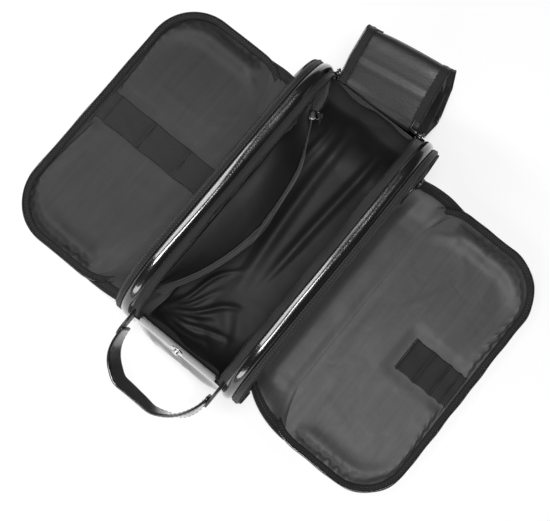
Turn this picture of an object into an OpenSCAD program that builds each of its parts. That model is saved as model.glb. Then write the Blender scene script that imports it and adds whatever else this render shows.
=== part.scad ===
// Toiletry bag, opened flat: a leather body with a main compartment under a zipped lid strip,
// and a zipped side compartment on each side whose tray flap folds down onto the table.
// X runs across the bag, Y along it with the handle at -Y and the lid hinge at +Y, Z is up.
// The origin is the centre of the base, on the table.

/* [Body] */
// Length of the body over its end walls
body_l = 262; // [230:1:300]
// Height of the body, which is also the depth of each flap
body_h = 138; // [120:1:160]
// Corner radius of the body and of the flaps, seen from the side
corner_r = 46; // [38:1:50]
// Thickness of the leather
leather_t = 1.8; // [1.4:0.1:2.2]
// Thickness of the satin linings
lining_t = 0.8; // [0.5:0.1:1.2]
// Thickness of the stiffener boards
board_t = 1.4; // [1:0.1:2]
// Depth of each side compartment inside the body
side_depth = 14.5; // [12:0.5:20]
// Height of the rounded top of each side gusset over its edges
roll_rise = 0.6; // [0.3:0.1:1]
// Angle on the end corners at which the wall at the handle end stops
near_mouth_angle = 29; // [20:1:35]
// Angle on the end corners at which the wall at the lid end stops
far_mouth_angle = 24; // [18:1:28]

/* [Zips] */
// Half the width of the mouth between the two main zips
mouth_half_w = 40; // [32:1:48]
// Width of each main zip tape from its teeth to the wall
main_tape_w = 8; // [7:0.5:12]
// Thickness of a zip tape
tape_t = 0.8; // [0.6:0.1:1.1]
// Thickness of the row of teeth
teeth_t = 1.6; // [1.2:0.1:2]
// Width of the row of teeth
teeth_w = 1.5; // [1.2:0.1:2]
// Width of the side zip tapes
side_tape_w = 6.5; // [5:0.5:9]
// Angle on the end corners at which the main zip tapes end
main_zip_end = 12; // [5:1:18]
// Angle below the level of the lower corner centres at which the side zips end
side_zip_end = 44; // [20:1:46]

/* [Sliders] */
// Length of a slider along its teeth
slider_l = 9; // [7:0.5:12]
// Thickness of a slider's plates
slider_plate_t = 2; // [1.4:0.1:2.6]
// Clearance between a slider and the teeth or tape
slider_gap = 0.35; // [0.3:0.05:0.6]
// Length of a pull
pull_l = 20; // [15:1:30]
// Width of a pull
pull_w = 5; // [4.5:0.5:8]
// How far outwards the main sliders' pulls hang from the middle of the teeth
pull_shift = 2; // [1.8:0.1:2.4]
// Thickness of a pull
pull_t = 1.4; // [1:0.1:2]
// Thickness of a slider's web, which runs in the gap between two rows of teeth
web_t = 0.9; // [0.7:0.1:1.4]
// How far a main slider's plates reach over the tape beyond the teeth
slider_reach = 2.4; // [1:0.1:4]
// Thickness of the bail that holds a pull
bail_t = 1.4; // [1:0.1:1.8]
// Height of the hole under a bail
bail_hole = 2.6; // [2.4:0.1:3.2]
// Length of the hole under a bail
bail_span = 4.6; // [4:0.1:5]
// Thickness of a ribbon pull
ribbon_t = 0.9; // [0.6:0.1:1.2]
// Width of a ribbon pull's loop round the bail
ribbon_loop_w = 3.6; // [2:0.1:3.8]
// Angle on the far corner at which the main sliders are parked
main_slider_angle = 19; // [14:1:22]
// Angle below the corner centre at which the side sliders are parked
side_slider_angle = 36; // [12:1:38]

/* [Flaps] */
// Depth of the tray round each flap
tray_depth = 5.6; // [4:0.2:9]
// Angle below the hinge corner's level at which the tray's wall ends
tray_end = 70; // [55:1:75]
// Height of a flap's underside over the table
flap_lift = 0.5; // [0.3:0.1:1]
// Distance of a flap's straight hinge edge from its hinge axis
flap_hinge_gap = 2; // [1.5:0.1:3]
// Margin between a flap's edge and its board
flap_board_margin = 5; // [3:0.5:10]

/* [Elastics] */
// Width of the long elastic on the left flap
left_elastic_w = 31; // [20:1:45]
// Width of the short elastic on the right flap
right_elastic_w = 34; // [20:1:45]
// Place of the left elastic's middle along the flap
left_elastic_y = 3; // [-30:1:30]
// Place of the right elastic's middle along the flap
right_elastic_y = -3; // [-30:1:30]
// Distance of both elastics' outer end from the flap's outer edge
elastic_margin = 8; // [8:1:20]
// Height of the elastics' loops
loop_rise = 3; // [2:0.5:4]
// Thickness of the elastic
elastic_t = 1.2; // [0.8:0.1:1.6]

/* [Lid] */
// Thickness of the padded lid strip
lid_t = 2.4; // [2:0.1:3]
// Half the width of the lid's leather, without its zip tapes
lid_half_w = 33; // [25:1:34]
// Gap between two lid panels at the leather side
crease_gap = 0.5; // [0.4:0.1:0.8]
// Angle by which the end of each panel is bevelled, so that the lid can curve over the body
crease_bevel = 17; // [16:1:25]
// Angle on the corners at which the lid's first and last curves start
lid_angle = 28.6; // [27:0.2:34]
// Skew of the first crease, which throws the lid to one side when it is open
lid_skew = 6; // [0:1:8]
// Thickness of the tongue at the lid's free end
tongue_t = 2; // [1.6:0.1:2.4]
// Width of the tongue
tongue_w = 44; // [34:1:60]
// Length of the straight end of the tongue below the corner
tongue_drop = 4; // [2:1:10]
// Length of the lid's last straight part, before it curves down at the handle end
lid_tail = 47.6; // [44:0.2:56]
// Angle on the near corner at which the lid's full width and its zips end
lid_end_angle = 30.6; // [26:0.2:34]
// Angle by which the tongue reaches back under the lid's full width
tongue_lap = 6; // [4:1:10]
// Height of the thicker upper edge of the far wall, to which the lid is sewn
hem_l = 4; // [2:0.5:6]

/* [Snap] */
// Angle on the near corner at which the snap sits
snap_angle = 14; // [10:1:18]
// Radius of the snap's base and cap
snap_r = 6.5; // [5:0.5:8]
// Radius of the snap's stud
stud_r = 3; // [2.5:0.1:3.5]
// Height of the snap's stud
stud_h = 2.2; // [1.6:0.1:2.6]
// Thickness of the metal of the snap's cap
cap_t = 1.5; // [1:0.1:2]

/* [Pocket] */
// How far the pocket's front sags from the wall in its middle
pocket_sag = 34; // [12:1:36]
// Length of the pocket
pocket_l = 206; // [150:2:220]
// Height of the pocket's front edge over the table
pocket_top = 100; // [80:1:104]
// How far the teeth on the wall lie over the pocket's front edge
pocket_open = 5.5; // [5.2:0.1:8]
// Height over the table at which the pocket's bottom leaves the wall
pocket_bottom = 24; // [20:1:40]
// Slope of the pocket's bottom
pocket_slope = 58; // [40:1:70]
// Distance of the parked slider from the pocket's end
pocket_slider_end = 13; // [12:1:30]
// Thickness of the pocket's front
pocket_t = 1; // [0.8:0.1:1.5]

/* [Handle] */
// Width of the handle strap
strap_w = 18; // [12:1:24]
// Thickness of the handle strap
strap_t = 2.6; // [2:0.2:4]
// Half the distance between the middles of the strap's two ends
handle_half_w = 43; // [36:1:45]
// How far the handle stands out from its hinge
handle_reach = 38; // [30:1:60]
// Distance of the handle's hinge axis below the body's top
handle_drop = 34; // [32:1:42]
// Exponent of the handle's plan: 1 makes an ellipse, less makes it squarer
handle_exponent = 0.8; // [0.6:0.05:1]
// Thickness of the tabs that hold the handle
tab_t = 2; // [1.6:0.1:3]
// Gap between the handle at its hinge and the end wall
handle_gap = 1; // [0.6:0.1:3]
// Angle by which the strap hangs below level
handle_droop = 12; // [0:1:30]

/* [Hidden] */
// Directions of the seven lid panels when the lid is thrown back, over the horizontal
lid_rest = [26, 5, -68, -89, -108, -232, -347];
// Places of the lid's folds between the far corner and its last straight part, as parts
lid_folds = [0.264, 0.625, 1];
// Distances of the elastics' seams from their outer ends
left_elastic_seams = [0, 11, 51, 92, 124];
right_elastic_seams = [0, 7, 18, 36, 56];
hinge_lift = 0.4;
fit = 0.3;
neck_gap = 0.4;
tape_sewn = 2;
zip_stop = 3;
snap_room = 1;
touch = 0.01;
arc_fn = 96;
round_fn = 48;
wide_fn = 240;
cut = 400;
teeth_gap = web_t + 2 * slider_gap;
wall_x = mouth_half_w + main_tape_w;
wall_out_x = wall_x + board_t;
side_x = wall_x + side_depth;
tape_in = roll_rise;
end_y = body_l / 2;
cy = end_y - corner_r;
top_z = body_h - corner_r;
straight_y = 2 * cy;
straight_z = body_h - 2 * corner_r;
lining_in = leather_t + roll_rise;
mouth_x = mouth_half_w + teeth_gap / 2;
lid_edge_x = mouth_half_w - teeth_gap / 2;
neck_x = lid_edge_x - fit;
lid_out = lid_t - tape_in;
lid_z = body_h + lid_out;
lid_fold_l = straight_y - lid_tail;
// The creases lie on the lid's leather side, so that the lid can fold back without squeezing
creases = [corner_point(lid_angle, lid_out), corner_point((90 + lid_angle) / 2, lid_out),
    [cy, lid_z], [cy - lid_fold_l * lid_folds[0], lid_z], [cy - lid_fold_l * lid_folds[1], lid_z],
    [cy - lid_fold_l * lid_folds[2], lid_z], [-cy, lid_z]];
crease_angle = crease_gap / 2 / (corner_r + lid_out) * 180 / PI;
lid_curve_start = 90 + crease_angle;
lid_curve_end = 180 - lid_end_angle;
socket_r = stud_r + 3 * fit;
teeth_depth = lid_t + tape_t / 2;
side_teeth_x = side_x + tape_t + teeth_w;
meet_x = side_teeth_x + teeth_gap;
flap_top = meet_x + teeth_w + tape_t + tray_depth + leather_t;
hinge_x = flap_top - hinge_lift;
hinge_z = flap_lift + hinge_lift;
flap_teeth_b = hinge_x - meet_x;
flap_tape_b = flap_teeth_b - teeth_w - tape_t;
flap_lining_b = -hinge_lift + leather_t + board_t + lining_t;
slider_in = tape_in + tape_t / 2;
handle_y = end_y + strap_w / 2 + handle_gap;
handle_z = body_h - handle_drop;
tab_x = handle_half_w + strap_t / 2 + fit;
pocket_teeth_z = pocket_top + pocket_open;
pocket_x = -wall_x + lining_t + fit;
pocket_r = (pow(pocket_l, 2) / 4 + pow(pocket_sag, 2)) / (2 * pocket_sag);
pocket_centre_x = pocket_x + pocket_sag - pocket_r;
pocket_half_angle = asin((pocket_l / 2 - teeth_t) / pocket_r);
pocket_park_angle = asin((pocket_l / 2 - pocket_slider_end) / pocket_r);
leather = [0.09, 0.09, 0.10];
satin = [0.27, 0.27, 0.28];
tape_black = [0.15, 0.15, 0.16];
board_grey = [0.35, 0.33, 0.31];
metal = [0.60, 0.60, 0.62];
elastic_black = [0.18, 0.18, 0.19];

// Paths round the side profile

// Centre of the corner that starts at 90 * q degrees, seen from the side
function corner_centre(q) =
    let (quarter = (q + 4) % 4)
    [(quarter == 0 || quarter == 3) ? cy : -cy, (quarter < 2) ? top_z : corner_r];

// A point on the far top corner, or with a mirrored Y on the near one
function corner_point(angle, out = 0) =
    [cy + (corner_r + out) * cos(angle), top_z + (corner_r + out) * sin(angle)];

// A section, drawn as [out of the outline, along the third axis], carried round the outline
// from one angle to another and along the named straight sides. Each arc is drawn from the end
// where it meets a straight side, so that the two meet exactly.
module around(a0, a1, straights) {
    for (q = [-2:2]) {
        lo = max(a0, 90 * q);
        hi = min(a1, 90 * (q + 1));
        whole_end = (hi == 90 * (q + 1));
        if (hi > lo)
            translate(corner_centre(q))
                rotate([0, 0, whole_end ? hi : lo])
                    rotate_extrude(angle = whole_end ? lo - hi : hi - lo, $fn = arc_fn)
                        translate([corner_r, 0])
                            children();
    }
    for (side = straights)
        straight_run(side, (side % 180 == 0) ? straight_z : straight_y)
            children();
}

// The straight side whose outward direction is the given angle
module straight_run(side, length) {
    centre = corner_centre(side / 90);
    translate([centre[0] + corner_r * cos(side), centre[1] + corner_r * sin(side)])
        rotate([0, 0, side])
            rotate([90, 0, 0])
                linear_extrude(height = length)
                    children();
}

// Stands a shape that was drawn from the side upright in the bag
module upright() {
    rotate([90, 0, 90])
        children();
}

// The side outline, drawn inwards by a margin
module side_outline(margin) {
    r = corner_r - margin;
    points = [for (q = [0:3], i = [0:arc_fn / 4])
        corner_centre(q) + r * [cos(90 * q + 90 * i / (arc_fn / 4)), sin(90 * q + 90 * i / (arc_fn / 4))]];
    polygon(points);
}

// A rectangle that spans two distances out of the outline and two places across
module section(out0, out1, across0, across1) {
    translate([out0, across0])
        square([out1 - out0, across1 - across0]);
}

module both_sides() {
    children();
    mirror([1, 0, 0])
        children();
}

// Body shell

module end_band(a0, a1, straights, inset, t) {
    upright()
        around(a0, a1, straights)
            section(-inset - t, -inset, -wall_x, wall_x);
}

module base_panel() {
    color(leather)
        end_band(-180, 0, [-90], 0, leather_t);
}

module base_board() {
    color(board_grey)
        translate([-wall_x, -cy, leather_t])
            cube([2 * wall_x, straight_y, board_t]);
}

// A sheet of an end wall between two distances out of the outline. Above the ends of the main
// zips it narrows to the neck between them.
module end_sheet(out0, out1, half_w, top_angle) {
    neck_angle = main_zip_end - neck_gap / corner_r * 180 / PI;
    upright() {
        around(0, neck_angle, [0])
            section(out0, out1, -half_w, half_w);
        around(neck_angle, top_angle, [])
            section(out0, out1, -neck_x, neck_x);
    }
}

module near_end_wall() {
    color(leather)
        mirror([0, 1, 0])
            end_sheet(-leather_t, 0, wall_x, near_mouth_angle);
}

// Cuts a shape off above a height, which falls on the left side with the lid's skew
module cut_askew(height) {
    difference() {
        children();
        translate([0, 0, height])
            rotate([0, -lid_skew, 0])
                translate([-cut / 2, 0, 0])
                    cube([cut, cut, cut]);
    }
}

// The far wall reaches up to the lid's first crease, where its thicker edge meets the lid. It
// slants down on the left, where the skewed lid folds over it.
module far_end_wall() {
    hem_start = lid_angle - hem_l / corner_r * 180 / PI;
    color(leather) {
        cut_askew(corner_point(lid_angle)[1])
            end_sheet(-leather_t, 0, wall_x, lid_angle);
        cut_askew(creases[0][1])
            upright()
                around(hem_start, lid_angle - crease_angle, [])
                    section(-touch, lid_out, -lid_half_w, lid_half_w);
    }
}

module floor_lining() {
    color(satin) {
        translate([-wall_x + lining_t, -cy, leather_t + board_t])
            cube([2 * (wall_x - lining_t), straight_y, lining_t]);
        upright()
            around(-180, 0, [])
                section(-leather_t - lining_t, -leather_t, -wall_x + lining_t, wall_x - lining_t);
    }
}

module end_linings() {
    half_w = wall_x - lining_t;
    color(satin) {
        end_sheet(-leather_t - lining_t, -leather_t, half_w, far_mouth_angle);
        mirror([0, 1, 0])
            end_sheet(-leather_t - lining_t, -leather_t, half_w, near_mouth_angle);
    }
}

// An upright sheet in the side outline between two places across
module wall_sheet(x0, x1, margin) {
    translate([x0, 0, 0])
        upright()
            linear_extrude(height = x1 - x0)
                side_outline(margin);
}

module inner_wall() {
    color(board_grey)
        wall_sheet(wall_x, wall_out_x, lining_in + fit / 2);
}

module right_inner_wall() {
    inner_wall();
}

module left_inner_wall() {
    mirror([1, 0, 0])
        inner_wall();
}

module wall_linings() {
    color(satin)
        both_sides()
            difference() {
                wall_sheet(wall_x - lining_t, wall_x, leather_t + lining_t);
                translate([0, -cut / 2, -touch])
                    cube([cut, cut, leather_t + board_t + lining_t + touch]);
            }
}

module side_linings() {
    color(satin)
        both_sides()
            wall_sheet(wall_out_x, wall_out_x + lining_t, lining_in);
}

// Section of a gusset: a band whose outer face is slightly rounded
module gusset_section() {
    steps = 4;
    outer = [for (i = [0:steps]) [-roll_rise * pow(2 * i / steps - 1, 2), wall_x + side_depth * i / steps]];
    inner = [for (i = [steps:-1:0])
        [-leather_t - roll_rise * pow(2 * i / steps - 1, 2), wall_x + side_depth * i / steps]];
    polygon(concat(outer, inner));
}

module gusset() {
    color(leather)
        upright()
            around(-90, 270, [-90, 0, 90, 180])
                gusset_section();
}

module right_gusset() {
    gusset();
}

module left_gusset() {
    mirror([1, 0, 0])
        gusset();
}

// Side zips

// Half a side zip: a tape and its row of teeth, from one place across to the other
module zip_half(x_tape, x_teeth) {
    x_face = x_tape + tape_t;
    around(-side_zip_end, 180 + side_zip_end, [0, 90, 180])
        section(-roll_rise - side_tape_w, -roll_rise, x_tape, x_face);
    around(-side_zip_end, 180 + side_zip_end, [0, 90, 180])
        section(-roll_rise - teeth_t, -roll_rise, x_face + touch, x_teeth);
}

module side_zip() {
    color(tape_black)
        upright()
            zip_half(side_x, side_teeth_x);
}

module right_side_zip() {
    side_zip();
}

module left_side_zip() {
    mirror([1, 0, 0])
        side_zip();
}

// Main zips

module main_zip() {
    x_face = mouth_x + teeth_w;
    color(tape_black)
        upright() {
            around(main_zip_end, 180 - main_zip_end, [90])
                section(-tape_in - tape_t, -tape_in, x_face, wall_x);
            around(main_zip_end, 180 - main_zip_end, [90])
                section(-slider_in - teeth_t / 2, -slider_in + teeth_t / 2, mouth_x, x_face - touch);
        }
}

module right_main_zip() {
    main_zip();
}

module left_main_zip() {
    mirror([1, 0, 0])
        main_zip();
}

// Pocket on the left wall

// The room behind the pocket's front, grown by a distance and open upwards
module pocket_space(grow, top) {
    reach = pocket_x + pocket_sag + pocket_r;
    intersection() {
        translate([pocket_centre_x, 0, 0])
            cylinder(r = pocket_r + grow, h = top, $fn = wide_fn);
        translate([0, pocket_l / 2, 0])
            rotate([90, 0, 0])
                linear_extrude(height = pocket_l)
                    polygon([[pocket_x, pocket_bottom - grow], [reach, pocket_bottom - grow
                        + (reach - pocket_x) * tan(pocket_slope)], [reach, cut], [pocket_x, cut]]);
    }
}

// A curved front with a slanted bottom, sewn to the wall all round
module pocket_front() {
    color(satin)
        difference() {
            pocket_space(pocket_t, pocket_top);
            pocket_space(0, cut);
        }
}

// The pocket's zip: teeth along the front's edge, and a tape with teeth on the wall
module pocket_zip() {
    wall_tape_x = -wall_x + lining_t;
    side_t = (teeth_t - pocket_t) / 2;
    color(tape_black) {
        translate([pocket_centre_x, 0, pocket_top])
            rotate([0, 0, -pocket_half_angle])
                rotate_extrude(angle = 2 * pocket_half_angle, $fn = wide_fn)
                    translate([pocket_r - side_t, 0])
                        square([teeth_t, teeth_w]);
        translate([wall_tape_x, -pocket_l / 2, pocket_teeth_z - teeth_t / 2])
            cube([tape_t, pocket_l, side_tape_w]);
        translate([wall_tape_x + tape_t, -pocket_l / 2, pocket_teeth_z - teeth_t / 2])
            cube([teeth_w, pocket_l, teeth_t]);
    }
}

// Snap

// Places a shape, drawn with its base at the origin and pointing up, on the near corner
module on_near_corner(angle, out) {
    translate([0, -cy - (corner_r + out) * cos(angle), top_z + (corner_r + out) * sin(angle)])
        rotate([90 - angle, 0, 0])
            children();
}

module snap_stud() {
    color(metal)
        on_near_corner(snap_angle, 0)
            translate([0, 0, -touch])
                cylinder(r = stud_r, h = stud_h + touch, $fn = round_fn);
}

// Handle

// Tabs on the near end wall, lapped on the outside of the strap's ends
module handle_anchors() {
    color(leather)
        both_sides()
            translate([tab_x, 0, 0])
                upright()
                    linear_extrude(height = tab_t)
                        difference() {
                            union() {
                                translate([-handle_y, handle_z])
                                    circle(r = strap_w / 2, $fn = round_fn);
                                translate([-handle_y, handle_z - strap_w / 2])
                                    square([handle_y - cy, strap_w]);
                            }
                            side_outline(-fit / 2);
                        }
}

module handle_strap() {
    steps = 32;
    outer = [for (i = [0:steps]) strap_point(i / steps, strap_t / 2)];
    inner = [for (i = [steps:-1:0]) strap_point(i / steps, -strap_t / 2)];
    color(leather)
        translate([0, -handle_y, handle_z])
            rotate([handle_droop, 0, 0]) {
                translate([0, 0, -strap_w / 2])
                    linear_extrude(height = strap_w)
                        polygon(concat(outer, inner));
                both_sides()
                    translate([handle_half_w - strap_t / 2, 0, 0])
                        rotate([0, 90, 0])
                            cylinder(r = strap_w / 2, h = strap_t, $fn = round_fn);
            }
}

// A point on the handle's plan, which is half of a superellipse, moved out by a distance
function strap_point(s, out) =
    let (a = 180 + 180 * s)
    [(handle_half_w + out) * sign(cos(a)) * pow(abs(cos(a)), handle_exponent),
     -(handle_reach + out) * pow(abs(sin(a)), handle_exponent)];

// Hinge strips between the base and the flaps

module hinge_strips() {
    strip_t = flap_lift + hinge_lift;
    color(leather)
        both_sides()
            translate([side_x, -cy, 0])
                cube([hinge_x + flap_hinge_gap - fit - side_x, straight_y, strip_t]);
}

// Flaps, drawn with X along the bag, Y away from the hinge and Z up from the hinge axis

// Lays a flap's part out on the right of the bag
module right_flap_place() {
    translate([hinge_x, 0, hinge_z])
        mirror([1, -1, 0])
            children();
}

module left_flap_place() {
    mirror([1, 0, 0])
        right_flap_place()
            children();
}

module flap_sheet(margin, b0, b1) {
    translate([0, 0, b0])
        linear_extrude(height = b1 - b0)
            difference() {
                side_outline(margin);
                translate([-cut / 2, -cut + flap_hinge_gap])
                    square([cut, cut]);
            }
}

module flap_panel() {
    color(leather)
        flap_sheet(0, -hinge_lift, -hinge_lift + leather_t);
}

module flap_board() {
    color(board_grey)
        flap_sheet(flap_board_margin, -hinge_lift + leather_t, -hinge_lift + leather_t + board_t);
}

module flap_lining() {
    color(satin)
        flap_sheet(leather_t + fit, -hinge_lift + leather_t + board_t, flap_lining_b);
}

module flap_tray() {
    color(leather)
        around(-tray_end, 180 + tray_end, [0, 90, 180])
            section(-leather_t, 0, -hinge_lift + leather_t, flap_tape_b);
}

module flap_zip() {
    color(tape_black)
        translate([0, 0, flap_tape_b])
            zip_half(0, flap_teeth_b - flap_tape_b);
}

module right_flap_panel() {
    right_flap_place()
        flap_panel();
}

module left_flap_panel() {
    left_flap_place()
        flap_panel();
}

module right_flap_board() {
    right_flap_place()
        flap_board();
}

module left_flap_board() {
    left_flap_place()
        flap_board();
}

module right_flap_tray() {
    right_flap_place()
        flap_tray();
}

module left_flap_tray() {
    left_flap_place()
        flap_tray();
}

module right_flap_zip() {
    right_flap_place()
        flap_zip();
}

module left_flap_zip() {
    left_flap_place()
        flap_zip();
}

module right_flap_lining() {
    right_flap_place()
        flap_lining();
}

module left_flap_lining() {
    left_flap_place()
        flap_lining();
}

// An elastic sewn down at the given distances from its outer end, arched between them
module elastic(seams, width, middle) {
    steps = 6;
    start = body_h - elastic_margin;
    rises = [for (k = [0:len(seams) - 2], i = [0:steps]) let (s = i / steps)
        [start - seams[k] - s * (seams[k + 1] - seams[k]), loop_rise * 4 * s * (1 - s)]];
    lower = [for (p = rises) [p[0], p[1]]];
    upper = [for (i = [len(rises) - 1:-1:0]) [rises[i][0], rises[i][1] + elastic_t]];
    color(elastic_black)
        translate([middle - width / 2, 0, flap_lining_b])
            rotate([90, 0, 90])
                linear_extrude(height = width)
                    polygon(concat(lower, upper));
}

module right_elastic() {
    right_flap_place()
        elastic(right_elastic_seams, right_elastic_w, right_elastic_y);
}

module left_elastic() {
    left_flap_place()
        elastic(left_elastic_seams, left_elastic_w, left_elastic_y);
}

// Lid strip, drawn closed over the mouth and then folded back along its creases

// Direction of each lid panel when the lid is closed
function closed_dir(k) = (k < 6)
    ? let (d = creases[k + 1] - creases[k]) atan2(d[1], d[0]) + (atan2(d[1], d[0]) < 0 ? 360 : 0)
    : 180;

// Turn at each crease between the folded back and the closed lid
function fold_angle(k) = (k == 0)
    ? closed_dir(0) - lid_rest[0]
    : closed_dir(k) - closed_dir(k - 1) - lid_rest[k] + lid_rest[k - 1];

module turn_at_crease(k) {
    axis = (k == 0) ? [cos(lid_skew), sin(lid_skew), 0] : [1, 0, 0];
    place = [0, creases[k][0], creases[k][1]];
    translate(place)
        rotate(a = -fold_angle(k), v = axis)
            translate(-place)
                children();
}

module folded_back(k) {
    if (k == 0)
        turn_at_crease(0)
            children();
    else
        folded_back(k - 1)
            turn_at_crease(k)
                children();
}

// Side view of a straight panel between two creases, from one depth under its leather side to
// another, with its ends set back by a distance
module lid_profile(k, depth0, depth1, set_back) {
    start = creases[k];
    end = creases[k + 1];
    way = (end - start) / norm(end - start);
    inward = [-way[1], way[0]];
    m0 = crease_gap / 2 + set_back + depth0 * tan(crease_bevel);
    m1 = crease_gap / 2 + set_back + depth1 * tan(crease_bevel);
    polygon([start + way * m0 + inward * depth0, start + way * m1 + inward * depth1,
        end - way * m1 + inward * depth1, end - way * m0 + inward * depth0]);
}

// A piece of lid panel k that spans two places across and two depths under the leather side
module lid_piece(k, x0, x1, depth0, depth1, set_back = 0) {
    translate([x0, 0, 0])
        upright()
            linear_extrude(height = x1 - x0)
                lid_profile(k, depth0, depth1, set_back);
}

// Makes the pieces of the first panel stop short of the skewed crease
module short_of_first_crease(k, stop) {
    difference() {
        children();
        if (k == 0)
            translate([0, creases[0][0], 0])
                rotate([0, 0, lid_skew])
                    translate([-cut / 2, -stop, 0])
                        cube([cut, cut, cut]);
    }
}

module lid_panel(k) {
    color(leather)
        folded_back(k)
            short_of_first_crease(k, 0)
                lid_piece(k, -lid_half_w, lid_half_w, 0, lid_t);
}

module lid_zip(k) {
    tape_edge = lid_edge_x - teeth_w + fit;
    color(tape_black)
        folded_back(k)
            short_of_first_crease(k, zip_stop)
                both_sides() {
                    lid_piece(k, lid_half_w - tape_sewn, tape_edge, lid_t, lid_t + tape_t);
                    lid_piece(k, lid_edge_x - teeth_w, lid_edge_x, teeth_depth - teeth_t / 2,
                        teeth_depth + teeth_t / 2, fit);
                }
}

// The last panel curves down over the near corner and ends in the tongue
module near_curve(a0, a1, out0, out1, x0, x1) {
    upright()
        around(a0, a1, [])
            section(out0, out1, x0, x1);
}

module lid_panel_7() {
    color(leather)
        folded_back(6)
            difference() {
                union() {
                    near_curve(lid_curve_start, lid_curve_end, -tape_in, lid_out, -lid_half_w,
                        lid_half_w);
                    near_curve(lid_curve_end - tongue_lap, 180, fit, fit + tongue_t, -tongue_w / 2,
                        tongue_w / 2);
                    translate([-tongue_w / 2, -end_y - fit - tongue_t, top_z - tongue_drop])
                        cube([tongue_w, tongue_t, tongue_drop]);
                }
                on_near_corner(snap_angle, -corner_r / 2)
                    cylinder(r = socket_r, h = corner_r, $fn = round_fn);
            }
}

module lid_zip_7() {
    tape_edge = lid_edge_x - teeth_w + fit;
    color(tape_black)
        folded_back(6)
            both_sides()
                union() {
                    near_curve(lid_curve_start, lid_curve_end, -tape_in - tape_t, -tape_in,
                        lid_half_w - tape_sewn, tape_edge);
                    near_curve(lid_curve_start + fit, lid_curve_end - fit, -slider_in - teeth_t / 2,
                        -slider_in + teeth_t / 2, lid_edge_x - teeth_w, lid_edge_x);
                }
}

// Domed cap over the stud's socket, hollow inside
module snap_cap() {
    room_h = stud_h - tongue_t + snap_room;
    color(metal)
        folded_back(6)
            on_near_corner(snap_angle, fit + tongue_t)
                difference() {
                    cylinder(r1 = snap_r, r2 = snap_r - cap_t, h = room_h + cap_t, $fn = round_fn);
                    translate([0, 0, -touch])
                        cylinder(r = socket_r, h = room_h, $fn = round_fn);
                }
}

// Sliders and pulls

// A slider drawn with X across, Y along the teeth and Z out of the tape. The teeth lie between
// X 0 and their width, and the tape leaves them towards +X. Two plates reach over the teeth
// and are joined by a web past their edge.
module slider_clip(reach) {
    half = teeth_t / 2 + slider_gap;
    difference() {
        translate([-slider_gap - web_t, -slider_l / 2, -half - slider_plate_t])
            cube([slider_gap + web_t + reach, slider_l, 2 * (half + slider_plate_t)]);
        translate([-slider_gap, -cut / 2, -half])
            cube([cut, cut, 2 * half]);
    }
}

// Bail drawn on the plane Z 0: a bar along Y on two legs
module bail() {
    for (end = [-1, 1])
        translate([-bail_t / 2, end * (bail_span + bail_t) / 2 - bail_t / 2, -touch])
            cube([bail_t, bail_t, bail_hole + bail_t + touch]);
    translate([-bail_t / 2, -bail_span / 2 - touch, bail_hole])
        cube([bail_t, bail_span + 2 * touch, bail_t]);
}

// Metal pull that turns about the X line through the origin, where its bar passes under the
// bail, and points to +Y
module metal_pull() {
    window_l = bail_span / 2 + 2 * bail_t;
    arm_w = (pull_w - bail_t) / 2 - fit;
    translate([0, 0, -pull_t / 2])
        linear_extrude(height = pull_t)
            difference() {
                union() {
                    translate([-pull_w / 2, -pull_t / 2])
                        square([pull_w, pull_l - pull_w / 2]);
                    translate([0, pull_l - pull_w / 2 - pull_t / 2])
                        circle(d = pull_w, $fn = round_fn);
                }
                translate([arm_w - pull_w / 2, pull_t / 2])
                    square([pull_w - 2 * arm_w, window_l]);
            }
}

// Ribbon pull that turns about the Y line through the origin, round the bail's bar, and
// points to +Z
module ribbon_pull(length) {
    inner_r = bail_t / sqrt(2) + fit / 2;
    outer_r = inner_r + ribbon_t;
    rotate([90, 0, 0])
        translate([0, 0, -ribbon_loop_w / 2])
            linear_extrude(height = ribbon_loop_w)
                difference() {
                    circle(r = outer_r, $fn = round_fn);
                    circle(r = inner_r, $fn = round_fn);
                }
    translate([-ribbon_t / 2, -pull_w / 2, outer_r - ribbon_t / 2])
        cube([ribbon_t, pull_w, length - outer_r]);
}

// The place of a main slider: X across the bag, Y down the far corner, Z outwards
module main_slider_place() {
    upright()
        translate(corner_centre(0))
            rotate([0, 0, main_slider_angle])
                translate([corner_r - slider_in, 0, mouth_x])
                    rotate(a = 180, v = [1, 0, 1])
                        children();
}

module main_bail_place() {
    main_slider_place()
        translate([teeth_w / 2 + pull_shift, 0, teeth_t / 2 + slider_gap + slider_plate_t])
            children();
}

module right_main_slider() {
    color(metal) {
        main_slider_place()
            slider_clip(teeth_w + slider_reach);
        main_bail_place()
            bail();
    }
}

module left_main_slider() {
    mirror([1, 0, 0])
        right_main_slider();
}

module right_main_pull() {
    color(metal)
        main_bail_place()
            translate([0, 0, bail_hole / 2])
                metal_pull();
}

module left_main_pull() {
    mirror([1, 0, 0])
        right_main_pull();
}

// The place of a side slider, parked under the far corner: X towards the bag, Z outwards
module side_slider_place() {
    upright()
        translate(corner_centre(-1))
            rotate([0, 0, -side_slider_angle])
                translate([corner_r - roll_rise - teeth_t / 2, 0, side_teeth_x])
                    rotate([0, 90, 0])
                        children();
}

module side_bail_place() {
    side_slider_place()
        translate([0, 0, teeth_t / 2 + slider_gap + slider_plate_t])
            children();
}

module right_side_slider() {
    color(metal) {
        side_slider_place()
            slider_clip(teeth_w - fit);
        side_bail_place()
            bail();
    }
}

module left_side_slider() {
    mirror([1, 0, 0])
        right_side_slider();
}

module right_side_pull() {
    color(tape_black)
        side_bail_place()
            translate([0, 0, bail_hole + bail_t / 2])
                rotate([0, -90, 0])
                    ribbon_pull(pull_l);
}

module left_side_pull() {
    mirror([1, 0, 0])
        right_side_pull();
}

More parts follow.
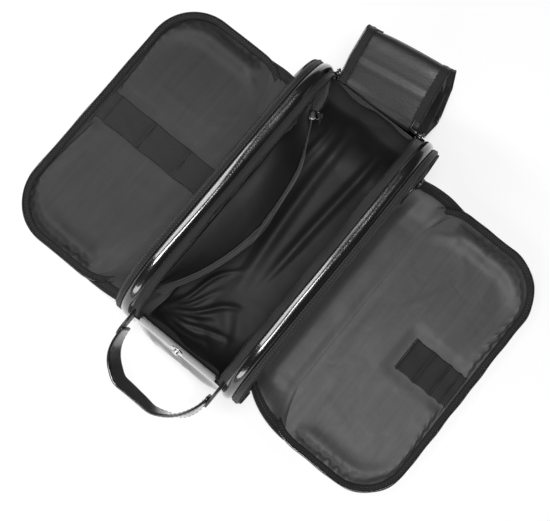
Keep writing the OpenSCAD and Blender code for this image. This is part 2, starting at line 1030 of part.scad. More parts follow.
// The place of the pocket's slider near the far end of its curved edge: X down, Z away from
// the wall
module pocket_slider_place() {
    translate([pocket_centre_x, 0, pocket_top + teeth_w])
        rotate([0, 0, pocket_park_angle])
            translate([pocket_r + pocket_t / 2, 0, 0])
                rotate([0, 90, 0])
                    children();
}

module pocket_bail_place() {
    pocket_slider_place()
        translate([0, 0, teeth_t / 2 + slider_gap + slider_plate_t])
            children();
}

module pocket_slider() {
    color(metal) {
        pocket_slider_place()
            slider_clip(teeth_w + slider_reach);
        pocket_bail_place()
            bail();
    }
}

module pocket_pull() {
    color(metal)
        pocket_bail_place()
            translate([0, 0, bail_hole + bail_t / 2])
                rotate([0, 90, 0])
                    ribbon_pull(pull_l);
}

base_panel();
base_board();
near_end_wall();
far_end_wall();
floor_lining();
end_linings();
left_inner_wall();
right_inner_wall();
wall_linings();
side_linings();
left_gusset();
right_gusset();
left_side_zip();
right_side_zip();
left_main_zip();
right_main_zip();
pocket_front();
pocket_zip();
snap_stud();
handle_anchors();
hinge_strips();
handle_strap();
left_flap_panel();
left_flap_board();
left_flap_tray();
left_flap_zip();
left_flap_lining();
left_elastic();
right_flap_panel();
right_flap_board();
right_flap_tray();
right_flap_zip();
right_flap_lining();
right_elastic();
lid_panel(0);  // lid_panel_1
lid_panel(1);  // lid_panel_2
lid_panel(2);  // lid_panel_3
lid_panel(3);  // lid_panel_4
lid_panel(4);  // lid_panel_5
lid_panel(5);  // lid_panel_6
lid_panel_7();
lid_zip(0);  // lid_zip_1
lid_zip(1);  // lid_zip_2
lid_zip(2);  // lid_zip_3
lid_zip(3);  // lid_zip_4
lid_zip(4);  // lid_zip_5
lid_zip(5);  // lid_zip_6
lid_zip_7();
snap_cap();
left_main_slider();
right_main_slider();
left_main_pull();
right_main_pull();
pocket_slider();
pocket_pull();
left_side_slider();
right_side_slider();
left_side_pull();
right_side_pull();
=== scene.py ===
import math
import bpy
import numpy as np
from mathutils import Matrix, Vector


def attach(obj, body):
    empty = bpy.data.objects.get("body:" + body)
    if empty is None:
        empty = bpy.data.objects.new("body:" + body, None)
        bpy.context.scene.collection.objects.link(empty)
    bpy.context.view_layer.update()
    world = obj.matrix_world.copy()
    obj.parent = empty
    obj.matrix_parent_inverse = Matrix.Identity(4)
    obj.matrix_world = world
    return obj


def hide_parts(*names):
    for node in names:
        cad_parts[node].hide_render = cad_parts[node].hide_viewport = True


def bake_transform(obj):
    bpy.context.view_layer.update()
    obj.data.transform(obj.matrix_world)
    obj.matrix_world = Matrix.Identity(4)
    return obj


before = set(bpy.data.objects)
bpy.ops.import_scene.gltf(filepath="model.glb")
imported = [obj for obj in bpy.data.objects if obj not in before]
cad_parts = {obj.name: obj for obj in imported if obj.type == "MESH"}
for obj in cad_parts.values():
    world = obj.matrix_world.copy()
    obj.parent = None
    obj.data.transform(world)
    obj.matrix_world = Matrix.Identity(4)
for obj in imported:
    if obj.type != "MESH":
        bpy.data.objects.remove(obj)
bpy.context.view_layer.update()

# Sizes of the bag in millimetres and degrees, as in the part's source
MM = 0.001
HALF_L = 131.0
HEIGHT = 138.0
CORNER = 46.0
CY = HALF_L - CORNER  # centres of the rounded corners, along the bag
TOP = HEIGHT - CORNER  # and their height at the top
WALL_X = 48.0  # inner wall of a side compartment, across from the middle
SIDE_X = 62.5  # the side zip's tape on the body
MOUTH_X = 40.8  # the main zip's teeth
SIDE_TEETH_X = 64.8  # the side zip's teeth
ZIP_END = 44.0  # how far round the lower corners the side zip runs, in degrees
HINGE_X = 75.7
HINGE_Z = 0.9
HINGE_FLAT = 20.0  # how far from the hinge a flap's satin is part of the folding strip
TRAY_TOP = 7.0
LINING_B = 3.6  # heights in a flap are counted from its hinge axis
LID_HALF = 33.0  # half width of the lid's leather
LID_EDGE = 39.2  # and with its zips
LID_OUT = 1.8  # how far the closed lid's leather side lies out of the outline
LID_T = 2.4
LID_ANGLE = 28.6  # where on the far corner the first crease lies
LID_SKEW = 6.0  # how far it runs askew
LID_REST = (26, 5, -68, -89, -108, -232, -347)  # directions of the panels, thrown back
LID_FOLDS = (0.19, 0.45, 0.72)  # creases between the corners, as parts of the way
POCKET_X = -46.9
POCKET_SAG = 34.0
POCKET_L = 206.0
POCKET_TOP = 100.0
POCKET_R = (POCKET_L ** 2 / 4 + POCKET_SAG ** 2) / (2 * POCKET_SAG)
HANDLE_Y = 141.0
HANDLE_Z = 104.0
HANDLE_HALF = 43.0
HANDLE_REACH = 38.0
HANDLE_DROOP = math.radians(12.0)
SNAP_ANGLE = math.radians(14.0)
MAIN_SLIDER_ANGLE = math.radians(19.0)
SIDE_SLIDER_ANGLE = math.radians(-36.0)
UP = np.array([0.0, 0.0, 1.0])


# Small sums

def smooth(x, lo, hi):
    """Smooth step from 0 at lo to 1 at hi."""
    t = np.clip((x - lo) / (hi - lo), 0, 1)
    return t * t * (3 - 2 * t)


def bump(x, centre, width):
    """Gaussian of height 1 at the centre that falls to a third at the width."""
    return np.exp(-((x - centre) / width) ** 2)


def rounded(x, power):
    """Power of the size of x with the sign of x. It turns a circle's sine and cosine into
    those of a rounded square."""
    return np.sign(x) * np.abs(x) ** power


def circle(count):
    """Angles once round a circle."""
    return np.linspace(0, 2 * np.pi, count, endpoint=False)


def across(lo, hi, n):
    """Row of n places across a strip."""
    return np.linspace(lo, hi, n)[None]


def unit(v):
    """Vectors of length 1."""
    return v / np.maximum(np.linalg.norm(v, axis=-1, keepdims=True), 1e-9)


def lengths(path):
    """Length along a path at each of its points."""
    return np.r_[0, np.cumsum(np.linalg.norm(np.diff(path, axis=0), axis=1))]


def at_lengths(t, s, values):
    """Values of a path, known at the lengths s, at the lengths t."""
    return np.stack([np.interp(t, s, values[:, k]) for k in range(3)], 1)


def drift(u, v, seed, waves=7, low=1.0, high=3.0):
    """Smooth noise between about -1 and 1: a sum of plane waves in u and v with seeded
    directions, whose wave numbers lie between low and high."""
    rng = np.random.default_rng(seed)
    total = 0
    for _ in range(waves):
        number = rng.uniform(low, high)
        turn = rng.uniform(0, 2 * np.pi)
        phase = rng.uniform(0, 2 * np.pi)
        total = total + np.sin(number * (u * np.cos(turn) + v * np.sin(turn)) + phase)
    return total / math.sqrt(waves)


def creases(u, v, seed, count, width, span, length):
    """Folds on seeded lines: each is a Gaussian ridge across its line that fades along it over
    the length. Their middles lie in a square of the span."""
    rng = np.random.default_rng(seed)
    total = 0
    for _ in range(count):
        middle_u, middle_v = rng.uniform(-span / 2, span / 2, 2)
        turn = rng.uniform(0, np.pi)
        off = (u - middle_u) * np.cos(turn) + (v - middle_v) * np.sin(turn)
        along = -(u - middle_u) * np.sin(turn) + (v - middle_v) * np.cos(turn)
        ridge = width * rng.uniform(0.5, 1.4)
        total = total + rng.uniform(0.4, 1) * bump(off, 0, ridge) * bump(along, 0, length)
    return total


# Paths

def side_path(a0, a1, step):
    """Points (y, z), outward normals and lengths round the side outline from one angle to
    another: arcs of the corner radius joined by straight sides, 0 far, 90 top, 180 near."""
    pts, nrm = [], []
    for q in range(math.floor(a0 / 90), math.ceil(a1 / 90)):
        cy = CY if q % 4 in (0, 3) else -CY
        cz = TOP if q % 4 in (0, 1) else CORNER
        lo, hi = max(a0, 90 * q), min(a1, 90 * (q + 1))
        n = max(2, int(math.radians(hi - lo) * CORNER / step))
        a = np.radians(np.linspace(lo, hi, n + 1))
        pts.append(np.stack([cy + CORNER * np.cos(a), cz + CORNER * np.sin(a)], 1))
        nrm.append(np.stack([np.cos(a), np.sin(a)], 1))
        if hi == 90 * (q + 1) and (hi < a1 or a1 - a0 == 360):
            length = HEIGHT - 2 * CORNER if hi % 180 == 0 else 2 * CY
            t = np.linspace(0, length, int(length / step) + 1)[1:-1, None]
            end, out = pts[-1][-1], nrm[-1][-1]
            pts.append(end + t * np.array([-out[1], out[0]]))
            nrm.append(np.repeat(out[None], len(t), 0))
    pts, nrm = np.vstack(pts), np.vstack(nrm)
    keep = np.r_[True, np.linalg.norm(np.diff(pts, axis=0), axis=1) > 1e-6]
    pts, nrm = pts[keep], nrm[keep]
    if a1 - a0 == 360 and np.linalg.norm(pts[0] - pts[-1]) < 1e-6:
        pts, nrm = pts[:-1], nrm[:-1]
    return pts, nrm, lengths(pts)


def upright(pts, nrm, x, out, sign=1):
    """Grid of points from a side path, places across x and heights out of the outline, on the
    side that the sign gives."""
    x, out = np.broadcast_arrays(x, out)
    y = pts[:, :1] + nrm[:, :1] * out
    z = pts[:, 1:] + nrm[:, 1:] * out
    return np.stack([sign * x, y, z], -1)


def two_faces(pts, nrm, x, out, over, under, sign=1):
    """The outer and inner face of a strip on a side path, over and under a height."""
    return [upright(pts, nrm, x, out + d, sign) for d in (over, -under)]


def body_point(sign):
    """Function that places points of the body given along the bag, upwards and across."""
    def at(y, z, x):
        return np.stack([sign * x + 0 * y, y, z], -1)
    return at


def flap_point(sign):
    """Function that places points of a flap given along the bag, away from its hinge and up
    from the hinge axis."""
    def at(y, a, b):
        return np.stack([sign * (HINGE_X + a), y, HINGE_Z + b + 0 * a], -1)
    return at


# Meshes

def make_mesh(name, points, quads, uv=None, material=None, soft_faces=None):
    """Object from points in millimetres, four-cornered faces and one uv per face corner.
    A face whose last two corners are the same becomes a triangle. soft_faces tells which
    faces are shaded smoothly, all of them without it."""
    mesh = bpy.data.meshes.new(name)
    mask = np.ones_like(quads, bool)
    mask[quads[:, 2] == quads[:, 3], 3] = False
    starts = np.r_[0, np.cumsum(mask.sum(1))[:-1]]
    corners = quads[mask]
    if soft_faces is None:
        soft_faces = np.ones(len(quads), bool)
    mesh.vertices.add(len(points))
    mesh.vertices.foreach_set("co", (points * MM).astype(np.float32).ravel())
    mesh.loops.add(len(corners))
    mesh.loops.foreach_set("vertex_index", corners.astype(np.int32))
    mesh.polygons.add(len(quads))
    mesh.polygons.foreach_set("loop_start", starts.astype(np.int32))
    mesh.polygons.foreach_set("use_smooth", soft_faces)
    if uv is not None:
        layer = mesh.uv_layers.new(name="UVMap")
        layer.data.foreach_set("uv", (uv[mask] * MM).astype(np.float32).ravel())
    mesh.update(calc_edges=True)
    mesh.validate()
    mesh.materials.append(material)
    obj = bpy.data.objects.new(name, mesh)
    bpy.context.scene.collection.objects.link(obj)
    return outwards(obj)


def outwards(obj):
    """Turns all faces over if the closed mesh is inside out, by the sign of its volume."""
    mesh = obj.data
    co = np.empty(len(mesh.vertices) * 3, np.float32)
    mesh.vertices.foreach_get("co", co)
    mesh.calc_loop_triangles()
    tris = np.empty(len(mesh.loop_triangles) * 3, np.int32)
    mesh.loop_triangles.foreach_get("vertices", tris)
    a, b, c = co.reshape(-1, 3)[tris.reshape(-1, 3)].transpose(1, 0, 2)
    if np.einsum("ij,ij->i", a, np.cross(b, c)).sum() < 0:
        mesh.flip_normals()
    return obj


def grid_faces(n, m, loop, along, around):
    """Faces between n rings of m points, each ring closed on itself, and the uv of their
    corners, which are the lengths along the rings' path and round a ring."""
    i = np.arange(n if loop else n - 1)[:, None]
    j = np.arange(m)[None]
    i2, j2 = (i + 1) % n, (j + 1) % m
    corners = np.broadcast_arrays(i * m + j, i2 * m + j, i2 * m + j2, i * m + j2)
    along = np.r_[along, along[-1] + (along[1] - along[0])]
    around = np.r_[around, around[-1] + (around[1] - around[0])]
    a, b = np.broadcast_arrays(along[i], around[j])
    a2, b2 = np.broadcast_arrays(along[i + 1], around[j + 1])
    uv = [np.stack(pair, -1) for pair in ((a, b), (a2, b), (a2, b2), (a, b2))]
    return np.stack(corners, -1).reshape(-1, 4), np.stack(uv, 2).reshape(-1, 4, 2)


def tube(name, rings, material, loop=False):
    """Closed surface through rings of points, shape (rings, points, 3). Each ring closes on
    itself. The rings join end to end when loop is set, otherwise each end is capped by faces
    round a point in its middle."""
    n, m = rings.shape[:2]
    points = rings.reshape(-1, 3)
    quads, uv = grid_faces(n, m, loop, lengths(rings.mean(1)), lengths(rings[0]))
    if not loop:
        points = np.vstack([points, rings[0].mean(0), rings[-1].mean(0)])
        j = np.arange(m)
        j2 = (j + 1) % m
        end = (n - 1) * m
        first = np.stack([np.full(m, n * m), j, j2, j2], 1)
        last = np.stack([np.full(m, n * m + 1), end + j2, end + j, end + j], 1)
        quads = np.vstack([quads, first, last])
        uv = np.concatenate([uv, np.zeros((2 * m, 4, 2))])
    return make_mesh(name, points, quads, uv, material)


def skin(name, front, back, material, loop=False):
    """Closed shell between two grids of points with the same layout, rows along the piece. Its
    long sides and its ends are closed by faces across it, which are shaded flat."""
    n, m = front.shape[:2]
    width = lengths(front[n // 2])
    around = np.r_[width, width[-1] + 1 + width]
    quads, uv = grid_faces(n, 2 * m, loop, lengths(front[:, m // 2]), around)
    column = np.tile(np.arange(2 * m), len(quads) // (2 * m))
    soft_faces = (column != m - 1) & (column != 2 * m - 1)
    if not loop:
        k = np.arange(m - 1)
        first = np.stack([k, k + 1, 2 * m - 2 - k, 2 * m - 1 - k], 1)
        last = (n - 1) * 2 * m + first[:, ::-1]
        end_uv = np.stack([np.stack([np.full(m - 1, v), around[k]], -1) for v in (0, 0, 1, 1)], 1)
        quads = np.vstack([quads, first, last])
        uv = np.concatenate([uv, end_uv, end_uv])
        soft_faces = np.r_[soft_faces, np.zeros(2 * (m - 1), bool)]
    rings = np.concatenate([front, back[:, ::-1]], axis=1)
    return make_mesh(name, rings.reshape(-1, 3), quads, uv, material, soft_faces)


def wrapped(path, side, up, half_side, half_up, count):
    """Elliptical rings round the points of a path, with half axes along side and up."""
    w = circle(count)[None, :, None]
    return path[:, None] + half_side * np.cos(w) * side[:, None] + half_up * np.sin(w) * up[:, None]


def coil(name, path, side, up, radius, pitch, wire, material):
    """Zip coil: a wire wound round a path. At length s the wire's middle is the path's point
    plus radius * (cos(2 pi s / pitch) side + sin(2 pi s / pitch) up). The wire's own radius
    is given as wire."""
    rings_a_turn, wire_sides = 8, 5
    s = lengths(path)
    t = np.arange(0, s[-1], pitch / rings_a_turn)
    turn = (2 * np.pi * t / pitch)[:, None]
    radial = np.cos(turn) * unit(at_lengths(t, s, side)) + np.sin(turn) * unit(at_lengths(t, s, up))
    middle = at_lengths(t, s, path) + radius * radial
    third = np.cross(unit(np.gradient(middle, axis=0)), radial)
    return tube(name, wrapped(middle, radial, third, wire, wire, wire_sides), material)


def stitches(name, paths, normals, material, length, pitch, width):
    """Rows of stitches: at each pitch along a path lies an ellipsoid of the length and width."""
    a = np.linspace(0, np.pi, 5)[1:-1, None]
    w = circle(6)
    k, rows = len(w), len(a)
    ball = np.stack([np.cos(a) + 0 * w, np.sin(a) * np.cos(w), np.sin(a) * np.sin(w)], -1)
    ball = np.vstack([[[1, 0, 0]], ball.reshape(-1, 3), [[-1, 0, 0]]])
    base = 1 + (rows - 1) * k
    faces = []
    for r in range(rows - 1):
        lo, hi = 1 + r * k, 1 + (r + 1) * k
        faces += [[lo + c, hi + c, hi + (c + 1) % k, lo + (c + 1) % k] for c in range(k)]
    for c in range(k):
        d = (c + 1) % k
        faces += [[0, 1 + c, 1 + d, 1 + d], [len(ball) - 1, base + d, base + c, base + c]]
    faces = np.array(faces)
    points, quads = [], []
    count = 0
    reach = 0.8
    for path, normal in zip(paths, normals):
        s = lengths(path)
        t = np.arange(pitch / 2, s[-1], pitch)
        ahead = at_lengths(np.minimum(t + reach, s[-1]), s, path)
        way = unit(ahead - at_lengths(np.maximum(t - reach, 0), s, path))
        up = unit(at_lengths(t, s, normal))
        axes = np.stack([way * length / 2, np.cross(up, way) * width / 2, up * width / 2], 1)
        points.append((at_lengths(t, s, path)[:, None] + ball @ axes).reshape(-1, 3))
        first = count + np.arange(len(t)) * len(ball)
        quads.append((faces[None] + first[:, None, None]).reshape(-1, 4))
        count += len(t) * len(ball)
    return make_mesh(name, np.vstack(points), np.vstack(quads), None, material)


def place(piece, body, slot, *nodes):
    """Puts a piece on its body, or, given a pair of bodies, bakes its transform where it lies, and
    hides the solids that it stands for. The slot is not used."""
    if nodes:
        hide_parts(*nodes)
    if isinstance(body, str):
        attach(piece, body)
    else:
        a, b, start, end = body
        tuple(c * MM for c in start)
        tuple(c * MM for c in end)
        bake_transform(piece)


# Materials

def material(name, colour, rough, spec=0.5, **sockets):
    """Principled material with the constant values set on its own sockets."""
    mat = bpy.data.materials.new(name)
    mat.use_nodes = True
    shader = mat.node_tree.nodes["Principled BSDF"]
    shader.inputs["Base Color"].default_value = (*colour, 1)
    shader.inputs["Roughness"].default_value = rough
    shader.inputs["Specular IOR Level"].default_value = spec
    for key, value in sockets.items():
        shader.inputs[key.replace("_", " ")].default_value = value
    return mat


class Nodes:
    """Short ways to add and join the nodes of one material."""

    def __init__(self, mat):
        self.tree = mat.node_tree
        self.shader = self.tree.nodes["Principled BSDF"]
        self.coords = self.tree.nodes.new("ShaderNodeTexCoord")

    def add(self, kind, **values):
        node = self.tree.nodes.new(kind)
        for key, value in values.items():
            if hasattr(node, key):
                setattr(node, key, value)
            else:
                node.inputs[key.replace("_", " ")].default_value = value
        return node

    def join(self, source, target):
        self.tree.links.new(source, target)

    def texture(self, kind, source="Object", stretch=(1, 1, 1), **values):
        """A texture on the piece's own coordinates, drawn out along the axes."""
        scaled = self.add("ShaderNodeMapping")
        scaled.inputs["Scale"].default_value = stretch
        self.join(self.coords.outputs[source], scaled.inputs["Vector"])
        node = self.add(kind, **values)
        self.join(scaled.outputs["Vector"], node.inputs["Vector"])
        return node.outputs["Distance" if kind == "ShaderNodeTexVoronoi" else "Fac"]

    def colour(self, source, a, b):
        """Colour from a to b after a texture."""
        node = self.add("ShaderNodeMix", data_type="RGBA")
        node.inputs[6].default_value = (*a, 1)
        node.inputs[7].default_value = (*b, 1)
        self.join(source, node.inputs[0])
        self.join(node.outputs[2], self.shader.inputs["Base Color"])

    def roughness(self, source, low, high):
        """Roughness from low to high after a texture."""
        node = self.add("ShaderNodeMapRange")
        node.inputs["To Min"].default_value = low
        node.inputs["To Max"].default_value = high
        self.join(source, node.inputs["Value"])
        self.join(node.outputs["Result"], self.shader.inputs["Roughness"])

    def height(self, source, distance, strength):
        """Adds a bump on top of those added before."""
        node = self.add("ShaderNodeBump")
        node.inputs["Distance"].default_value = distance
        node.inputs["Strength"].default_value = strength
        self.join(source, node.inputs["Height"])
        old = self.shader.inputs["Normal"].links
        if old:
            self.join(old[0].from_socket, node.inputs["Normal"])
        self.join(node.outputs["Normal"], self.shader.inputs["Normal"])


def leather(name, dark, light, rough, grain, coat=0.0):
    """Black leather: cells of grain, fine pores, soft wear in colour and gloss."""
    mat = material(name, dark, rough, Coat_Weight=coat, Coat_Roughness=0.1, Coat_IOR=1.7)
    n = Nodes(mat)
    cells = n.texture("ShaderNodeTexVoronoi", Scale=grain, feature="F1")
    pores = n.texture("ShaderNodeTexNoise", Scale=grain * 2.6, Detail=3.0)
    wear = n.texture("ShaderNodeTexNoise", Scale=34.0, Detail=5.0, Roughness=0.6)
    folds = n.texture("ShaderNodeTexNoise", stretch=(1, 0.35, 1), Scale=110.0, Detail=4.0, Distortion=0.7)
    n.colour(wear, dark, light)
    n.roughness(wear, rough - 0.09, rough + 0.12)
    n.height(folds, 0.0004, 0.4)
    n.height(cells, 0.00016, 0.5)
    n.height(pores, 0.00008, 0.5)
    return mat


def satin(name, dark, light, rough):
    """Lining satin: long floats across fine ribs, with faint creases and a soft sheen."""
    mat = material(name, dark, rough, spec=0.34, Sheen_Weight=0.14, Sheen_Roughness=0.4)
    n = Nodes(mat)
    threads = n.texture("ShaderNodeTexWave", Scale=420.0, Distortion=0.6, bands_direction="X")
    floats = n.texture("ShaderNodeTexNoise", stretch=(0.12, 1, 1), Scale=1500.0, Detail=2.0)
    slub = n.texture("ShaderNodeTexNoise", stretch=(1, 0.06, 0.4), Scale=240.0, Detail=3.0)
    folds = n.texture("ShaderNodeTexNoise", Scale=46.0, Detail=5.0, Roughness=0.55, Distortion=0.9)
    n.colour(slub, dark, light)
    n.roughness(folds, rough - 0.06, rough + 0.08)
    n.height(folds, 0.0007, 0.4)
    n.height(floats, 0.00006, 0.4)
    n.height(threads, 0.00005, 0.4)
    return mat


def ribbed(name, dark, light, rough, pitch):
    """Woven tape or elastic: ribs at a pitch in millimetres along the piece, crossed by finer
    threads, in its own lengthwise and crosswise coordinates."""
    mat = material(name, dark, rough, spec=0.3, Sheen_Weight=0.15)
    n = Nodes(mat)
    waves = math.pi / (20 * pitch * MM)
    ribs = n.texture("ShaderNodeTexWave", source="UV", Scale=waves, bands_direction="X")
    cross = n.texture("ShaderNodeTexWave", source="UV", Scale=waves * 2.2, Distortion=0.4,
                      bands_direction="Y")
    fuzz = n.texture("ShaderNodeTexNoise", Scale=900.0, Detail=3.0)
    n.colour(ribs, dark, light)
    n.height(ribs, 0.00022, 0.8)
    n.height(cross, 0.0001, 0.5)
    n.height(fuzz, 0.00012, 0.4)
    return mat


def shaded(colour, factor):
    """A colour made darker or lighter."""
    return tuple(min(1, c * factor) for c in colour)


def thread(name, colour, rough):
    """Nylon thread or coil: a plain dark filament with a faint twist."""
    mat = material(name, colour, rough)
    n = Nodes(mat)
    twist = n.texture("ShaderNodeTexNoise", Scale=1400.0, Detail=2.0)
    n.colour(twist, colour, shaded(colour, 1.8))
    n.height(twist, 0.00008, 0.4)
    return mat


def plated(name, colour, rough):
    """Plated metal: tumbled surface with fine scratches and rubbed edges."""
    mat = material(name, colour, rough, Metallic=1.0)
    n = Nodes(mat)
    scratches = n.texture("ShaderNodeTexNoise", stretch=(1, 0.08, 1), Scale=1800.0, Detail=4.0)
    rubbed = n.texture("ShaderNodeTexNoise", Scale=260.0, Detail=4.0)
    n.colour(rubbed, colour, shaded(colour, 1.25))
    n.roughness(scratches, rough - 0.07, rough + 0.12)
    n.height(scratches, 0.00003, 0.4)
    return mat


def board(name, colour):
    """Stiff fibre board, pressed and rough."""
    mat = material(name, colour, 0.85)
    n = Nodes(mat)
    fibres = n.texture("ShaderNodeTexNoise", Scale=700.0, Detail=6.0)
    n.colour(fibres, shaded(colour, 0.7), shaded(colour, 1.4))
    n.height(fibres, 0.0003, 0.6)
    return mat


gloss = leather("glossy_leather", (0.006, 0.006, 0.0065), (0.012, 0.012, 0.013), 0.24, 900.0, coat=1.0)
soft = leather("soft_leather", (0.011, 0.011, 0.012), (0.022, 0.022, 0.024), 0.4, 800.0)
lid_inside = leather("lid_inside", (0.012, 0.012, 0.013), (0.024, 0.024, 0.026), 0.46, 700.0)
# The flaps' lining is one satin in two copies: the left copy is darker as painted shade, and the right copy
# is lighter as painted light.
satin_left_painted_shade = satin("satin_left_painted_shade", (0.016, 0.016, 0.017), (0.034, 0.034, 0.035), 0.52)
satin_right_painted_light = satin("satin_right_painted_light", (0.038, 0.038, 0.039), (0.072, 0.072, 0.074), 0.46)
# The same satin inside the bag, made darker as painted shade for the inside of the deep bag.
satin_inside_painted_shade = satin("satin_inside_painted_shade", (0.008, 0.008, 0.0085), (0.016, 0.016, 0.017), 0.56)
tape = ribbed("zip_tape", (0.011, 0.011, 0.012), (0.026, 0.026, 0.028), 0.7, 0.9)
edge_tape = ribbed("edge_tape", (0.006, 0.006, 0.007), (0.014, 0.014, 0.015), 0.7, 0.9)
binding = ribbed("binding", (0.007, 0.007, 0.008), (0.015, 0.015, 0.016), 0.6, 0.7)
elastic_weave = ribbed("elastic", (0.010, 0.010, 0.011), (0.026, 0.026, 0.028), 0.65, 0.9)
teeth = thread("coil_teeth", (0.010, 0.010, 0.011), 0.35)
# Paler coil for the pocket's zip, a painted highlight along the pocket's edge.
painted_highlight_teeth = thread("painted_highlight_teeth", (0.06, 0.06, 0.062), 0.4)
yarn = thread("stitching", (0.016, 0.016, 0.017), 0.55)
# Near-black thread for the elastic's seams: painted shade in the grooves where the elastic is sewn down.
painted_seam_shade_yarn = thread("painted_seam_shade_stitching", (0.003, 0.003, 0.003), 0.6)
pale_yarn = thread("pale_stitching", (0.055, 0.055, 0.057), 0.5)
nickel = plated("bright_plating", (0.62, 0.62, 0.63), 0.22)
gunmetal = plated("dark_plating", (0.075, 0.075, 0.08), 0.3)
stiffener = board("stiffener_board", (0.03, 0.03, 0.03))


# Body

def gusset(sign, side):
    """The glossy roll round a side compartment, between the main zip and the side zip. Its
    height out of the outline is a hump over the inner two thirds of its width and a lower one
    for the bound edge, with slow dents. It lies flat where it stands on the table."""
    pts, nrm, s = side_path(-90, 270, 2.0)
    s = s[:, None]
    u = across(0, 1, 25)
    off_table = smooth(pts[:, 1:], 4, 40)
    inner_x, width = WALL_X - 0.4, SIDE_X + 0.8 - WALL_X
    dents = drift(s / 26, u * 2, 11 + sign, low=0.5, high=2.4)
    fine = drift(s / 7, u * 3, 13 + sign, low=0.6, high=2.0)
    sway = 0.8 * drift(s / 55, u * 0, 21 + sign, low=0.5, high=1.5) * off_table
    hump = np.clip(1 - np.abs((u - 0.34) / 0.36) ** 2.2, 0, 1) ** 0.8
    edge = 0.8 * np.clip(1 - np.abs((u - 0.88) / 0.16) ** 2.4, 0, 1)
    bulge = (3.9 + 0.7 * dents + 0.07 * fine) * off_table + 0.4 * (1 - off_table)
    out = bulge * hump + edge * off_table - 0.6
    faces = two_faces(pts, nrm, inner_x + width * u + sway, out, 0, 1.6, sign)
    place(skin(f"{side}_roll", *faces, gloss, loop=True), "bag_body", "leather", f"{side}_gusset")

    # The bound edge beside the side zip, sewn down with two rows of stitches
    v = across(0.70, 1.04, 9)
    round_over = np.clip((v - 0.94) / 0.10, 0, 1) ** 2
    arched = np.sin(np.pi * np.clip((v - 0.68) / 0.4, 0, 1)) ** 0.6
    out = (0.95 * arched - 1.6 * round_over) * off_table - 0.25
    faces = two_faces(pts, nrm, inner_x + width * v + sway[:, :1], out, 0.35, 0.3, sign)
    place(skin(f"{side}_edge_binding", *faces, binding, loop=True), "bag_body", "leather")
    up = np.stack([0 * s[:, 0], nrm[:, 0], nrm[:, 1]], 1)
    rows = [faces[0][:, k] + up * (0.1 - 0.5 * (1 - off_table)) for k in (1, 5)]
    place(stitches(f"{side}_edge_stitches", rows, [up, up], pale_yarn, 1.7, 2.6, 0.5), "bag_body", "leather")

    # The piping beside the main zip, pressed flat on the table
    w = circle(8)[None]
    radius = 0.9
    x = WALL_X - 0.2 + radius * np.cos(w) + sway[:, :1]
    out = -0.5 + radius * np.sin(w) * (0.35 + 0.65 * off_table) - 0.4 * (1 - off_table)
    ring = upright(pts, nrm, x, out, sign)
    place(tube(f"{side}_inner_piping", ring, binding, loop=True), "bag_body", "leather")


def outer_wrap():
    """Leather of the base and the two ends in one band from the far crease under the base to
    the near mouth. It narrows to the neck between the zips above their ends, and bellies out
    at both ends, more at the handle's end."""
    pts, nrm, s = side_path(151, 388, 2.4)
    u = across(-1, 1, 41)
    y, z = pts[:, :1], pts[:, 1:]
    neck = smooth(z, 100, 103)
    face = smooth(np.abs(y), 100, 128) * smooth(z, 10, 60)
    far = (y > 0) * 1.0
    lean = 2.6 * far * smooth(z, 40, 120)
    dents = 0.9 * drift(z / 22, u * 2.2, 5, low=0.6, high=2.4)
    dents = dents + 0.9 * creases(u * 48, z - 70, 8, 12, 3.2, 90, 22)
    crown = (2.2 + 4.6 * (1 - far)) * (1 - u ** 4) * smooth(z, 6, 34)
    crown = crown * (1 - smooth(z, 44, 70) * (1 - 0.6 * far))
    out = face * (dents * (1 - 0.5 * neck) + crown) + lean - 0.1 + 0.1 * smooth(z, 0.2, 4)
    near_mouth = (1 - far) * smooth(z, 66, 88)
    out = out * (1 - near_mouth) + 0.1 * near_mouth
    half_w, narrowing, thick = 47.6, 9.0, 1.6
    front, back = two_faces(pts, nrm, u * (half_w - narrowing * neck), out, 0, thick)
    front[..., 2] = np.maximum(front[..., 2], 0.0)
    place(skin("outer_wrap", front, back, gloss), "bag_body", "leather",
          "base_panel", "near_end_wall", "far_end_wall")


def end_seams():
    """Rows of stitches beside the seams where the base meets the end walls."""
    x = np.linspace(-46, 46, 40)
    crown = 0.9 + 1.4 * (1 - (x / 48) ** 4)
    paths, normals = [], []
    for sign in (-1, 1):
        for dz in (-2.4, 2.4):
            paths.append(np.stack([x, sign * (HALF_L + crown), np.full_like(x, CORNER + dz)], 1))
            normals.append(np.tile([0.0, sign, 0.0], (len(x), 1)))
    place(stitches("end_stitches", paths, normals, yarn, 2.3, 3.4, 0.55), "bag_body", "leather")


